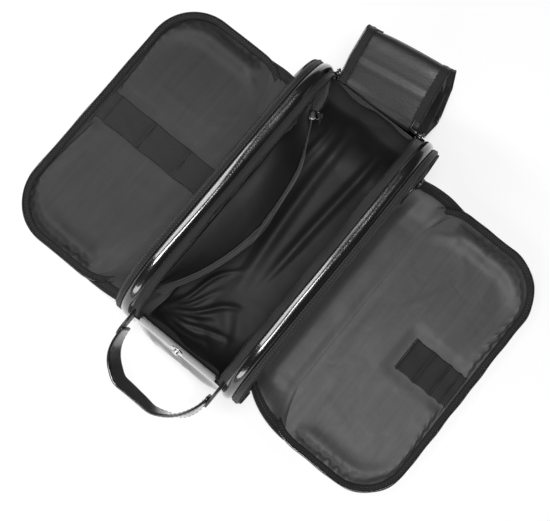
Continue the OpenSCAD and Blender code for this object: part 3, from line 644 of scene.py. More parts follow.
def floor_folds(x, y):
    """Height of the floor satin's folds: three long ridges, ripples that spread from the near
    end, and crisp ridges that run out of the near left corner. Each crisp ridge is given by its
    direction in degrees, its length and its height."""
    corner_ridges = ((2, 62, 2.6), (15, 78, 3.4), (27, 60, 2.8), (40, 88, 3.2), (54, 70, 2.4), (66, 96, 2.2))
    total = 4.6 * bump(x + 8 + 5 * np.sin(y / 60), 0, 6.0)
    total = total + 4.2 * bump(x - 17 + 4 * np.sin(y / 55 + 2), 0, 5.0)
    total = total + 2.2 * bump(x + 30 + 3 * np.sin(y / 45 + 1), 0, 4.0)
    total = total * smooth(y, -70, 20)
    turn = np.arctan2(y + 124, x - 30)
    reach = np.hypot(y + 124, x - 30)
    rays = 0.5 + 0.5 * np.sin(turn * 9.5 + 1.2 * np.sin(reach / 19) + 0.6)
    stretch = smooth(reach, 10, 34) * smooth(-reach, -100, -52) * smooth(-y, -20, 30)
    total = total + 1.7 * rays ** 2.2 * stretch
    total = total + 1.1 * drift(x / 9, y / 24, 33, low=0.7, high=1.6) * smooth(-y, -20, 40)
    reach = np.hypot(x + 47, y + 116)
    heading = np.degrees(np.arctan2(y + 116, x + 47)) + 3.5 * np.sin(reach / 13)
    for direction, length, height in corner_ridges:
        ridge = np.exp(-(np.radians(heading - direction) * reach / 2.6) ** 2)
        fade = smooth(reach, 6, 22) * (1 - smooth(reach, length - 34, length))
        total = total + 1.35 * height * ridge * fade
    return total + 0.7 * drift(y / 24, x / 16, 17, low=0.6, high=2.0)


def floor_and_ends():
    """Satin of the floor and the ends: the outline 2.6 mm inside the leather, raised by folds
    along the floor and by drapes at the ends. The lift levels off at its limit."""
    pts, nrm, s = side_path(152, 385, 2.0)
    u = across(-1, 1, 61)
    y, z = pts[:, :1], pts[:, 1:]
    half_w, narrowing, limit = 46.9, 8.6, 8.0
    face_depth, back_depth = 3.4, 2.7
    x = u * (half_w - narrowing * smooth(z, 100, 104))
    on_floor = smooth(-z, -30, -4)
    drapes = 1.4 * drift(x / 13, z / 30, 27, low=0.8, high=2.2) + 1.4
    ends = drapes * (1 - on_floor) * smooth(np.abs(y), 105, 128)
    lift = 0.4 + on_floor * np.maximum(floor_folds(x, y), -0.2) + np.maximum(ends, 0)
    lift = limit * np.tanh(lift / limit) * smooth(1 - np.abs(u), 0, 0.05)
    front = upright(pts, nrm, x, -face_depth - lift)
    back = upright(pts, nrm, x, -back_depth)
    piece = skin("floor_satin", front, back, satin_inside_painted_shade)
    place(piece, "bag_body", "satin", "floor_lining", "end_linings")


def filled(pts, nrm, margin, parts):
    """Grid of plane points: for each part t, 1 is the outline drawn in by the margin and 0 its
    middle. Also gives the distance from the margin's line."""
    edge = pts - nrm * margin
    middle = np.array([0.0, edge[:, 1].mean()])
    grid = middle + parts[:, None, None] * (edge - middle)
    return grid, np.linalg.norm(edge - middle, axis=1)[None] * (1 - parts[:, None])


def wall_satin(sign, side):
    """Satin on both faces of an inner wall: the outline drawn in, with upright folds that
    deepen under the main zip and drag lines towards the corners."""
    pts, nrm, s = side_path(-90, 270, 3.0)
    parts = np.r_[np.linspace(0.04, 0.9, 26), np.linspace(0.93, 1, 5)]
    grid, inward = filled(pts, nrm, 2.8, parts)
    y, z = grid[..., 0], grid[..., 1]
    for face, x0, way in (("main", WALL_X - 0.15, -1), ("outer", WALL_X + 1.55, 1)):
        seed = 40 + 3 * sign + way
        if face == "main":
            folds = 1.5 * drift(y / 9.5, z / 90, seed, low=0.7, high=1.4) * smooth(z, 40, 128)
            folds = folds + 1.7 * creases(y, z * 1.3 - 85, seed + 1, 16, 4.0, 210, 40)
            puff = 1.6 + 1.0 * drift(y / 40, z / 30, seed + 2)
            nodes = ("wall_linings",)
        else:
            folds = 1.3 * creases(y, z * 1.6 - 100, seed + 1, 12, 6.0, 220, 50)
            puff = 1.0 + 0.8 * drift(y / 36, z / 30, seed + 2)
            nodes = ("side_linings",)
        lift = np.maximum(folds + puff, 0.05) * smooth(inward, 0, 9)
        x = x0 + way * (0.75 + np.minimum(lift, 6.0))
        front = np.stack([sign * x, y, z], -1)
        back = np.stack([np.full_like(x, sign * (x0 + way * 0.05)), y, z], -1)
        piece = tube(f"{side}_{face}_satin", np.concatenate([front, back[::-1]]), satin_inside_painted_shade)
        place(piece, "bag_body", "satin", *(nodes if sign > 0 else ()))


def main_zip(sign, side):
    """Main zip on one side of the mouth: a waving tape and its coil."""
    pts, nrm, s = side_path(12, 168, 1.6)
    u = across(0, 1, 9)
    t = s[:, None]
    inner_x, thick = 42.1, 0.35
    wave = 0.9 * drift(t / 15, u * 0.6, 60 + sign, low=0.7, high=1.6)
    wave = wave + 0.5 * drift(t / 6, u, 62 + sign, low=0.7, high=1.6)
    ends = smooth(t, 0, 25) * smooth(s[-1] - t, 0, 25)
    slack = (1 - u) * wave * ends
    x = inner_x + (WALL_X + 0.3 - inner_x) * u + 0.6 * slack
    out = -1.0 - 0.9 * np.sin(np.pi * u) * ends + slack
    faces = two_faces(pts, nrm, x, out, thick, thick, sign)
    place(skin(f"{side}_main_tape", *faces, tape), "bag_body", "zip", f"{side}_main_zip")
    up = np.stack([0 * s, nrm[:, 0], nrm[:, 1]], 1)
    middle = upright(pts, nrm, x[:, :1] - 0.7, out[:, :1], sign)[:, 0]
    out_x = np.tile([1.0, 0, 0], (len(s), 1))
    place(coil(f"{side}_main_coil", middle, out_x, up, 0.6, 1.35, 0.3, teeth), "bag_body", "zip")
    rows = [upright(pts, nrm, x[:, [k]], out[:, [k]] + 0.45, sign)[:, 0] for k in (2, 7)]
    place(stitches(f"{side}_main_stitches", rows, [up, up], yarn, 1.8, 2.8, 0.4), "bag_body", "zip")


def ring_zip(name, body, x_tape, x_teeth, at):
    """Side zip half: a tape ring that curls over a little, with its coil at the outer edge, for
    the body or a flap. It stands for the solid of its name, and at places its points."""
    pts, nrm, s = side_path(-ZIP_END, 180 + ZIP_END, 1.8)
    u = across(0, 1, 8)
    way = np.sign(x_teeth - x_tape)
    margin, width, thick = 0.9, 6.0, 0.4

    def inside(depth):
        return pts[:, 0] - nrm[:, 0] * depth, pts[:, 1] - nrm[:, 1] * depth

    wave = 0.45 * drift(s[:, None] / 8, u, 70 + len(name), low=0.6, high=1.6) * u
    y = pts[:, :1] - nrm[:, :1] * (margin + width * u)
    z = pts[:, 1:] - nrm[:, 1:] * (margin + width * u)
    mid = x_tape + way * thick + wave - way * 0.9 * u ** 2
    faces = [at(y, z, mid + way * d) for d in (thick, -thick)]
    place(skin(f"{name}_tape", *faces, edge_tape), body, "zip", name)
    cy, cz = inside(1.4)
    radial = unit(at(*inside(0), 0 * cy) - at(cy, cz, 0 * cy))
    axis = unit(at(cy, cz, 0 * cy + 1) - at(cy, cz, 0 * cy))
    middle = at(cy, cz, 0 * cy + x_tape + way * 1.55)
    place(coil(f"{name}_coil", middle, radial, axis, 0.62, 1.4, 0.3, teeth), body, "zip")
    rows = []
    for depth in (2.6, 4.4):
        curl = 0.9 * ((depth - margin) / width) ** 2
        rows.append(at(*inside(depth), 0 * cy + x_tape + way * (0.85 - curl)))
    place(stitches(f"{name}_stitches", rows, [axis * way] * 2, pale_yarn, 1.7, 2.8, 0.42), body, "zip")


# Pocket

def pocket():
    """Satin pocket: a front that swells out from the wall to the arc of its top edge, with
    gathers that hang from the edge, the satin inside it, its hem and both rows of teeth."""
    t = np.linspace(0, 1, 90)[:, None]
    v = across(0, 1, 36)
    foot = 24
    y = POCKET_L * (t - 0.5)
    reach = POCKET_SAG - POCKET_R + np.sqrt(POCKET_R ** 2 - y ** 2)
    z = foot + (POCKET_TOP - foot) * v
    swell = np.sin(np.pi / 2 * np.clip(v * 1.5, 0, 1)) ** 1.3
    gathers = 0.9 * drift(y / 8, z / 70, 81, low=0.7, high=1.5)
    gathers = gathers + 1.4 * creases(y, z - 62, 83, 12, 4.5, 200, 26)
    gathers = gathers * smooth(v, 0.05, 0.5) * smooth(reach, 1, 8) * (1 - 0.5 * smooth(v, 0.85, 1))
    x = POCKET_X + 0.5 + reach * swell + gathers
    x, y, z = np.broadcast_arrays(x, y, z)
    faces = [np.stack([x + d, y, z], -1) for d in (0.5, -0.4)]
    piece = skin("pocket_satin", *faces, satin_inside_painted_shade)
    place(piece, "bag_body", "satin", "pocket_front")

    # What shows of the satin inside the pocket, from the wall to the edge
    v = across(0, 1, 24)
    sag = 3 + 15 * v ** 1.3 + 20 * smooth(t, 0.7, 0.95) * v ** 0.6
    billow = (1.3 * drift(t * 14, v * 2.2, 95, low=0.6, high=1.7) + 1.2) * np.sin(np.pi * v)
    inner_x = POCKET_X + 0.9 + (reach - 2.2) * v * (reach > 2.5)
    top = np.stack([inner_x, y[:, :1] + 0 * v, 103 - sag + billow], -1)
    piece = skin("pocket_inner_satin", top, top - 0.6 * UP, satin_inside_painted_shade)
    place(piece, "bag_body", "satin")

    # The edge and its zip
    edge = np.stack([x[:, -1], y[:, -1], z[:, -1]], 1)
    slope = np.gradient(edge[:, 0]) / np.gradient(edge[:, 1])
    away = unit(np.stack([1 + 0 * slope, -slope, 0 * slope], 1))
    hem = wrapped(edge, away, UP[None], 0.85, 1.5, 8) - 1.1 * UP
    place(tube("pocket_hem", hem, edge_tape), "bag_body", "zip", "pocket_zip")
    up = np.tile(UP, (len(edge), 1))
    # The pocket's coil is pale as a painted highlight along its edge.
    place(coil("pocket_coil", edge + 0.95 * UP, away, up, 0.55, 1.3, 0.28, painted_highlight_teeth), "bag_body", "zip")

    # The half of the zip on the wall
    y = np.linspace(-POCKET_L / 2, POCKET_L / 2, 110)[:, None]
    v = across(0, 1, 6)
    x = POCKET_X + 0.9 + 0.5 * drift(y / 10, v, 91) * (1 - v)
    z = 104.9 + 7.6 * v
    x, y, z = np.broadcast_arrays(x, y, z)
    faces = [np.stack([x + d, y, z], -1) for d in (0.35, -0.35)]
    place(skin("pocket_wall_tape", *faces, tape), "bag_body", "zip")
    middle = np.stack([x[:, 0] + 0.4, y[:, 0], z[:, 0]], 1)
    out_x = np.tile([1.0, 0, 0], (len(y), 1))
    up = np.tile(UP, (len(y), 1))
    place(coil("pocket_wall_coil", middle, out_x, up, 0.55, 1.3, 0.28, teeth), "bag_body", "zip")


# Flaps

def flap_leather(sign, side, seed):
    """A flap's leather tray. Its profile goes round by rings: rings at a part of the way from
    the middle to the outline, under and in the tray, and rings at a depth inside the outline,
    each with its height. The tray's wall is low beside the hinge."""
    pts, nrm, s = side_path(-90, 270, 1.5)
    pts[:, 1] = np.maximum(pts[:, 1], 2.0)
    from_hinge = smooth(pts[:, 1], 3, 16)
    wobble = 0.35 * drift(s / 9, 0 * s, seed, low=0.7, high=1.8) * from_hinge
    wall = TRAY_TOP * from_hinge + 1.4 * (1 - from_hinge)
    thick = 1.8
    middle = np.array([0.0, HEIGHT / 2])
    under = [(part, -0.4) for part in (0.03, 0.3, 0.6, 0.85, 0.96)]
    rim = [(1.6, -0.4), (0.55, -0.1), (0.05, 0.9), (-0.25 + wobble, 0.45 * wall + 0.5),
           (-0.1 + wobble, wall - 0.5), (0.5, wall + 0.05), (1.3, wall - 0.1), (1.75, wall - 0.7),
           (thick, 0.5 * wall + 0.7), (2.2, 1.45)]
    inside = [(part, 1.35) for part in (0.9, 0.4, 0.03)]

    def ring(plane, height):
        along, out = plane[:, 0], np.maximum(plane[:, 1], 2.0)
        return flap_point(sign)(along, out, height + 0 * out)

    def inner_ring(part, height):
        return ring(middle + part * (pts - nrm * thick - middle), height)

    rings = [inner_ring(*row) for row in under]
    rings += [ring(pts - nrm * (depth + 0 * s)[:, None], height) for depth, height in rim]
    rings += [inner_ring(*row) for row in inside]
    place(tube(f"{side}_flap_leather", np.array(rings), gloss), f"{side}_flap", "leather",
          f"{side}_flap_panel", f"{side}_flap_tray")


def flap_satin(sign, side, finish, seed, band):
    """A flap's satin: a pad with gathers along its edge, pressed down beside the hinge, where
    the folding strip goes on, and under the elastic. band is the elastic's middle, half width
    and inner end."""
    pts, nrm, s = side_path(-90, 270, 1.5)
    pts[:, 1] = np.maximum(pts[:, 1], 2.0)
    parts = np.r_[np.linspace(0.03, 0.72, 26), np.linspace(0.735, 0.93, 24), (0.96, 1.0)]
    grid, inward = filled(pts, nrm, 1.9, parts)
    grid[..., 1] = np.maximum(grid[..., 1], 2.4)
    y, a = grid[..., 0], grid[..., 1]
    s = s[None] + 0 * inward
    sewn_margin = 7.4

    scallop = np.sin(s / 1.8 + 1.7 * drift(s / 18, 0 * s, seed + 1))
    scallop = scallop * (0.55 + 0.45 * drift(s / 26, 0 * s, seed + 2))
    past_groove = inward - (7.9 + 1.7 * scallop + 0.8 * drift(s / 14, 0 * s, seed + 6))
    pad = 2.5 * smooth(past_groove, 0, 3.0) - 1.2 * smooth(inward, 11, 34)
    tucks = 0.55 * scallop * bump(past_groove, 3.0, 3.0)
    shoulder = 2.0 * smooth(y, 84, 112) * bump(inward, 19, 8)
    shoulder = shoulder + smooth(-y, 84, 112) * bump(inward, 17, 7)
    broad = 0.8 * drift(y / 32, a / 26, seed + 3, low=0.6, high=1.8)
    lines = 0.4 * creases(y, a - 69, seed + 4, 12, 4.2, 230, 22)
    drag = 0.4 * drift(s / 16, inward / 30, seed + 5, low=0.6, high=1.4) * (1 - smooth(inward, 8, 28))
    folds = shoulder + broad + lines + drag * smooth(a, 40, 62)
    lift = LINING_B - 0.3 + pad + tucks + folds * smooth(inward, 8, 16)
    lift = np.where(inward < sewn_margin, LINING_B - 0.3, np.clip(lift, LINING_B - 0.4, 9.0))

    beside = np.abs(y) > CY
    depth = np.where(beside, CORNER - np.hypot(a - CORNER, np.abs(y) - CY), a)
    flat = 1 - smooth(depth, HINGE_FLAT + 1, HINGE_FLAT + 16)
    flat = flat * (1 - smooth(a, 36, 52) * smooth(np.abs(y), CY - 4, CY + 12)) * (a <= 56)
    lift = lift * (1 - flat) + (LINING_B + 1.0) * flat
    middle, half_width, inner_end = band
    held = smooth(half_width + 12 - np.abs(y - middle), 0, 12) * smooth(a, inner_end - 15, inner_end - 1)
    held = held * (inward >= sewn_margin)
    lift = lift * (1 - held) + (LINING_B + 0.5) * held

    world = flap_point(sign)
    rings = np.concatenate([world(y, a, lift), world(y, a, 2.9 + 0 * a)[::-1]])
    piece = tube(f"{side}_flap_satin", rings, finish)
    place(piece, f"{side}_flap", "satin", f"{side}_flap_lining")


def flap(sign, side, finish, seed, band):
    """One flap: its leather, its satin and its half of the side zip."""
    flap_leather(sign, side, seed)
    flap_satin(sign, side, finish, seed, band)
    ring_zip(f"{side}_flap_zip", f"{side}_flap", TRAY_TOP + 0.1, 9.3, flap_point(sign))


def elastic(sign, side, seams, width, middle, seed):
    """Elastic band sewn down at the seams, which are counted from the flap's outer edge, and
    arched between them. Its edges pull in a little where it arches. Its ribs run along it."""
    world = flap_point(sign)
    start = HEIGHT - 8
    places, heights, pulls = [], [], []
    for k, seam in enumerate(seams[:-1]):
        length = seams[k + 1] - seam
        t = np.linspace(0, 1, 14)[:None if k == len(seams) - 2 else -1]
        rise = 3.0 if length > 12 else 1.3
        places.append(start - seam - t * length)
        heights.append(rise * (4 * t * (1 - t)) ** 0.5)
        pulls.append(1.3 * np.sin(np.pi * t))
    a, b, pull = [np.concatenate(part)[:, None] for part in (places, heights, pulls)]
    u = across(-1, 1, 22)
    ripple = 0.28 * np.sin(u * 34 + seed) * (b > 0.3) + 0.25 * drift(a / 7, u * 3, seed)
    y = middle + u * (width / 2 - pull)
    base = LINING_B + 0.9
    top = base + b + ripple + 0.9
    faces = [world(y, a + 0 * u, top - d) for d in (0, 1.1)]
    place(skin(f"{side}_elastic_band", *faces, elastic_weave), f"{side}_flap", "elastic", f"{side}_elastic")
    y = np.linspace(middle - width / 2 + 1, middle + width / 2 - 1, 24)
    rows = [world(y, np.clip(start - seam + d, 6.5, 129.5) + 0 * y, base + 1.05 + 0 * y)
            for seam in seams for d in (-0.7, 0.7)]
    ups = [np.tile(UP, (len(y), 1))] * len(rows)
    # The seams' stitches are near black as painted shade in the seam grooves.
    seam_rows = stitches(f"{side}_elastic_stitches", rows, ups, painted_seam_shade_yarn, 2.1, 2.2, 1.0)
    place(seam_rows, f"{side}_flap", "elastic")


def hinge_web(sign, end, y0, u, strip_x, strip_z, sink):
    """Function that gives the web at one end of a flap's hinge. Point (u, t) lies between the
    strip's end at t 0 and the free edge at t 1, a quadratic curve, and is bowed so that the
    web's last line follows an arc on the flap's satin."""
    p0, p1 = np.array([63.4, y0, 10.8]), np.array([84, max(y0 + 6, 128.5), 11.6])
    p2 = np.array([113, 129.2, 9.8])
    x1 = strip_x[0, -1]
    w = u[0][:, None]
    edge = (1 - w) ** 2 * p0 + 2 * w * (1 - w) * p1 + w ** 2 * p2
    edge[:, 2] -= 4.0 * smooth(w[:, 0], 0.6, 1)

    def web(t):
        bow = 2 * t * (1 - t) * u ** 2
        x = strip_x + (edge[:, 0] - strip_x) * t + bow * (x1 + 0.8 - 0.5 * (x1 + edge[-1, 0]))
        y = CY + (edge[:, 1] - CY) * t + bow * (CY + 23 - 0.5 * (CY + edge[-1, 1]))
        wave = 0.5 * drift(u * 7, t * 5, 300 + sign + 7 * end, low=0.6, high=1.5)
        z = strip_z + (edge[:, 2] - strip_z) * smooth(t, 0.2, 0.8)
        z = z + (wave + 0.4) * np.sin(np.pi * t) * smooth(u, 0.1, 0.4)
        return np.stack([x, end * y, z - sink * (1 - smooth(t, 0.6, 0.9))], -1)

    return web, np.hypot(edge[:, 0] - strip_x[0], edge[:, 1] - CY)[None]


def web_zip(name, blend, band):
    """The side zip where it folds at a hinge's end: tape, binding, coil and stitches on a band
    of points given by rows along the free edge."""
    place(skin(f"{name}_tape", band + 0.7 * UP, band + 0.05 * UP, edge_tape), blend, "zip")
    path = band[:, 0] - 0.1 * UP
    out = unit(np.cross(unit(np.gradient(path, axis=0)), UP))
    place(tube(f"{name}_binding", wrapped(path, out, UP[None], 1.5, 1.1, 8), binding), blend, "zip")
    # The last two rows run under the flap's satin
    path = band[:-2, -1] + 0.8 * UP
    out = unit(np.cross(unit(np.gradient(path, axis=0)), UP))
    up = np.tile(UP, (len(path), 1))
    place(coil(f"{name}_coil", path, out, up, 0.6, 1.45, 0.3, teeth), blend, "zip")
    row = band[:-2, 4] + 0.75 * UP
    place(stitches(f"{name}_stitches", [row], [up], pale_yarn, 1.7, 2.8, 0.42), blend, "zip")


def hinge_fold(sign, side, near_y, far_y, finish):
    """Lining and leather that fold over a flap's hinge, as one grid with u across, from inside
    the side compartment to the flap's satin. Between the hinge's ends it is a strip. At each
    end it widens to a web, which carries the flap's zip on to the body."""
    body_side, flap_side = [(sign * (HINGE_X + d), 0, HINGE_Z) for d in (-6, 8)]
    blend = ("bag_body", f"{side}_flap", body_side, flap_side)
    level = HINGE_Z + LINING_B + 1.1
    mirror = np.array([sign, 1, 1])
    tape_w = 8.5
    u = np.r_[np.linspace(0, 0.88, 24), np.linspace(0.9, 1, 8)][None]
    x0, x1 = 53.0, HINGE_X + HINGE_FLAT
    strip_x = x0 + (x1 - x0) * u
    strip_z = 3.6 + (level - 2.7) * smooth(u, 0.1, 0.45) - 0.9 * smooth(u, 0.7, 0.91)
    sink = 0.8 * np.clip((u - 0.91) / 0.09, 0, 1) ** 2
    grids = []
    for name, end, y0 in (("near", -1, near_y), ("far", 1, far_y)):
        web, length = hinge_web(sign, end, y0, u, strip_x, strip_z, sink)
        grids.append(web(np.linspace(1, 0, 26, endpoint=False)[:, None]))
        band = web(1 - np.linspace(0, 1, 9)[:, None] * tape_w / length) * mirror
        web_zip(f"{side}_{name}_web", blend, band.transpose(1, 0, 2))
    y = np.linspace(-CY, CY, 52)[:, None]
    ripple = 0.35 * (1 + 0.5 * drift(y / 13, u * 3, 130 + sign))
    ripple = ripple * np.sin(np.pi * u) * smooth(CY - np.abs(y), 0, 12)
    middle = np.stack([strip_x + 0 * y, y + 0 * u, strip_z - sink + ripple], -1)
    top = np.concatenate([grids[0], middle, grids[1][::-1]]) * mirror
    place(skin(f"{side}_hinge_satin", top, top - 0.5 * UP, finish), blend, "satin")
    nodes = ("hinge_strips",) if sign > 0 else ()
    place(skin(f"{side}_hinge_leather", top - 0.6 * UP, top - 1.9 * UP, soft), blend, "leather", *nodes)


# Lid

def corner_point(angle, out):
    """Point (y, z) on the far upper corner, outside the outline."""
    a = math.radians(angle)
    return np.array([CY + (CORNER + out) * math.cos(a), TOP + (CORNER + out) * math.sin(a)])


LID_Z = HEIGHT + LID_OUT
CREASES = [corner_point(a, LID_OUT) for a in (LID_ANGLE, (90 + LID_ANGLE) / 2)]
CREASES += [np.array([CY - 2 * CY * part, LID_Z]) for part in (0, *LID_FOLDS, 1)]
PANELS = len(CREASES)


def closed_direction(k):
    """Direction in degrees of a lid panel on the closed bag."""
    if k == PANELS - 1:
        return 180.0
    d = CREASES[k + 1] - CREASES[k]
    return math.degrees(math.atan2(d[1], d[0])) % 360


def lid_turns():
    """Where each lid panel lies when the lid is thrown back: the turns at the creases, one
    after another, from the closed lid. The first crease runs askew."""
    turns = []
    total = Matrix.Identity(4)
    before = 0
    for k in range(PANELS):
        fold = closed_direction(k) - LID_REST[k]
        skew = math.radians(LID_SKEW) if k == 0 else 0.0
        axis = Vector((math.cos(skew), math.sin(skew), 0))
        middle = Vector((0, *CREASES[k]))
        turn = Matrix.Rotation(-math.radians(fold - before), 4, axis)
        total = total @ Matrix.Translation(middle) @ turn @ Matrix.Translation(-middle)
        turns.append(np.array(total))
        before = fold
    return turns


def lid_line():
    """The closed lid's line in the side view on its leather side, from the far wall to the
    tongue, with inward normals, lengths and, for each crease, its length along the line."""
    step = 1.5
    tip = -HALF_L - LID_OUT
    pts = [np.array([corner_point(a, 0.5) for a in np.arange(20, LID_ANGLE, 1.6)])]
    for start, end in zip(CREASES[:-1], CREASES[1:]):
        n = max(2, int(np.linalg.norm(end - start) / step))
        pts.append(start + np.linspace(0, 1, n, endpoint=False)[:, None] * (end - start))
    a = np.radians(np.linspace(90, 180, 46))
    reach = CORNER + LID_OUT
    pts.append(np.stack([-CY + reach * np.cos(a), TOP + reach * np.sin(a)], 1))
    pts = np.vstack([*pts, [[tip, TOP - 2.0], [tip, TOP - 4.0]]])
    s = lengths(pts)
    at = [s[np.argmin(np.linalg.norm(pts - c, axis=1))] for c in CREASES]
    tangent = unit(np.gradient(pts, axis=0))
    return pts, np.stack([-tangent[:, 1], tangent[:, 0]], 1), s, at


TURNS = lid_turns()
LINE, INWARD, LINE_S, CREASE_S = lid_line()


def lid_points(s, x, depth):
    """Points of the thrown back lid. s is the length along its line, x the place across and
    depth the distance under its leather side. Near a crease a point moves smoothly from one
    panel's place to the next, over a longer way at the third crease."""
    s, x, depth = np.broadcast_arrays(s, x, depth)
    y = np.interp(s, LINE_S, LINE[:, 0]) + np.interp(s, LINE_S, INWARD[:, 0]) * depth
    z = np.interp(s, LINE_S, LINE[:, 1]) + np.interp(s, LINE_S, INWARD[:, 1]) * depth
    closed = np.stack([x, y, z, np.ones_like(x)], -1)
    world = closed
    for k in range(PANELS):
        shift = np.clip(-x * 0.105, -4.2, 4.2) if k == 0 else 0
        reach = 11.5 if k == 2 else 6.5
        w = smooth(s - CREASE_S[k] - shift, -reach, reach)[..., None]
        world = world * (1 - w) + closed @ TURNS[k].T * w
    return world[..., :3]


def lap(s, s0, s1):
    """How deep a piece's end dips under its neighbour, growing with the square of the length
    by which it reaches past its own stretch."""
    return 0.05 * (np.clip(s0 - s, 0, 3) ** 2 + np.clip(s - s1, 0, 3) ** 2)


def lid_padding(k, s0, s1, ride):
    """Leather and soft lining of a stretch of the lid, thinner and narrower at the tongue."""
    over = 2.4
    n = max(12, int((s1 - s0) / 1.3)) + 4
    s = np.linspace(s0 - over * (k > 0), s1 + over * (k < PANELS - 1), n)[:, None]
    u = across(-1, 1, 31)
    dip = lap(s, s0, s1)
    tongue = smooth(s, CREASE_S[-1] + 46, CREASE_S[-1] + 52)
    x = u * (LID_HALF * (1 - tongue) + 21.5 * tongue)
    edge = 1 - np.abs(u) ** 6
    quilt = 0.5 * drift(s / 16, u * 1.5, 150, low=0.6, high=1.6)
    quilt = quilt + 0.3 * creases(s - 150, u * 33, 151, 16, 2.6, 300, 14)
    outer = -0.5 * edge - 0.25 * quilt * edge + dip
    inner = LID_T - 0.9 + 0.9 * edge + 0.8 * quilt * edge - dip
    if k == PANELS - 1:
        outer = outer * (1 - tongue) - 0.2 * tongue
        inner = inner * (1 - tongue) + 1.4 * tongue
    front, back = lid_points(s, x, outer), lid_points(s, x, inner)
    middle = (back + front) / 2
    piece = skin(f"lid_skin_{k + 1}", front, middle, soft if k else gloss)
    place(piece, ride, "soft_leather", f"lid_panel_{k + 1}")
    inside = skin(f"lid_lining_{k + 1}", middle + (front - back) * 0.02, back, lid_inside)
    place(inside, ride, "soft_leather")


def lid_zips(k, s0, s1, ride):
    """Zip tapes, coils and stitches beside a stretch of the lid. The coils and stitches keep to
    the stretch itself, and the tapes are lapped."""
    count = max(8, int((s1 - s0) / 1.4))
    s = np.linspace(s0, s1, count)
    lapped = np.linspace(s0 - 2.0 * (k > 0), s1 + 2.0 * (k < PANELS - 1), count + 3)[:, None]
    low = lap(lapped, s0, s1)
    v = across(0, 1, 6)
    for sign, side in ((-1, "left"), (1, "right")):
        x = sign * (LID_HALF - 2 + (LID_EDGE - 1.2 - LID_HALF + 2) * v)
        sag = 0.5 * drift(lapped / 9, v, 160 + sign) * v
        front = lid_points(lapped, x, LID_T - 0.1 + sag + low)
        back = lid_points(lapped, x, LID_T + 0.7 + sag - low)
        nodes = (f"lid_zip_{k + 1}",) if sign > 0 else ()
        place(skin(f"lid_{side}_tape_{k + 1}", front, back, edge_tape), ride, "zip", *nodes)
        middle = lid_points(s, sign * (LID_EDGE - 0.75), LID_T + 0.3)
        out = unit(lid_points(s, sign * (LID_EDGE + 0.25), LID_T + 0.3) - middle)
        up = unit(lid_points(s, sign * (LID_EDGE - 0.75), LID_T + 1.3) - middle)
        place(coil(f"lid_{side}_coil_{k + 1}", middle, out, up, 0.58, 1.35, 0.3, teeth), ride, "zip")
        row = lid_points(s, sign * (LID_HALF - 2.4), LID_T + 0.75)
        place(stitches(f"lid_{side}_stitches_{k + 1}", [row], [up], yarn, 2.0, 3.2, 0.5), ride, "zip")


def lid():
    """The padded strip in stretches from the middle of one panel to the middle of the next,
    each bending over one crease. The zips start past the first crease and end at the tongue."""
    stops = [LINE_S[0], *[(a + b) / 2 for a, b in zip(CREASE_S[:-1], CREASE_S[1:])], LINE_S[-1]]
    bodies = ["bag_body", *[f"lid_{k}" for k in range(1, PANELS + 1)]]
    tongue_start = CREASE_S[-1] + 46
    for k in range(PANELS):
        s0, s1 = stops[k], stops[k + 1]
        before, after = lid_points(CREASE_S[k] + np.array([-9.0, 9.0]), 0.0, 0.0)
        ride = (bodies[k], bodies[k + 1], tuple(before), tuple(after))
        lid_padding(k, s0, s1, ride)
        if s0 <= tongue_start:
            first = max(s0, CREASE_S[0] + 4) if k == 0 else s0
            lid_zips(k, first, min(s1, tongue_start), ride)


# Handle

def handle():
    """Wrist strap: a flat band round half a superellipse, x = half * sgn(cos) |cos|^0.8 and
    y = -reach |sin|^0.8, with two soft kinks and a slight twist. It droops from its anchors."""
    t = np.linspace(0, 1, 120)
    a = np.pi * (1 + t)
    kinks = 1.1 * bump(t, 0.36, 0.05) + 0.9 * bump(t, 0.58, 0.05) - 0.8 * bump(t, 0.47, 0.07)
    y = -HANDLE_REACH * np.abs(np.sin(a)) ** 0.8 - kinks
    path = np.stack([HANDLE_HALF * rounded(np.cos(a), 0.8), y], 1)
    tangent = unit(np.gradient(path, axis=0))
    out = np.stack([-tangent[:, 1], tangent[:, 0]], 1)
    out = out * np.sign((out * path).sum(1) + 1e-9)[:, None]
    tilt = 30 * bump(t, 0.3, 0.3) - 16 * bump(t, 0.84, 0.14) + 4 * drift(t * 6, 0 * t, 171)
    tilt = np.radians(tilt)[:, None]
    half_w, half_t = 8.6, 1.35
    cos, sin = math.cos(HANDLE_DROOP), math.sin(HANDLE_DROOP)

    def strap_points(h, d):
        """Points of the band, h across it and d through it."""
        outwards_by = h * np.sin(tilt) + d * np.cos(tilt)
        up_by = h * np.cos(tilt) - d * np.sin(tilt)
        x = path[:, :1] + out[:, :1] * outwards_by
        y = path[:, 1:] + out[:, 1:] * outwards_by
        return np.stack([x, y * cos - up_by * sin - HANDLE_Y, y * sin + up_by * cos + HANDLE_Z], -1)

    w = circle(20)
    rings = strap_points(half_w * rounded(np.cos(w), 0.35), half_t * rounded(np.sin(w), 0.7))
    place(tube("wrist_strap", rings, gloss), "handle", "leather", "handle_strap")
    rows, ups = [], []
    for edge in (-1, 1):
        for face in (-1, 1):
            rows.append(strap_points(edge * 6.6, face * (half_t + 0.05))[:, 0])
            ups.append(face * np.stack([out[:, 0], out[:, 1] * cos, out[:, 1] * sin], 1))
    place(stitches("strap_stitches", rows, ups, yarn, 2.6, 3.6, 0.22), "handle", "leather")


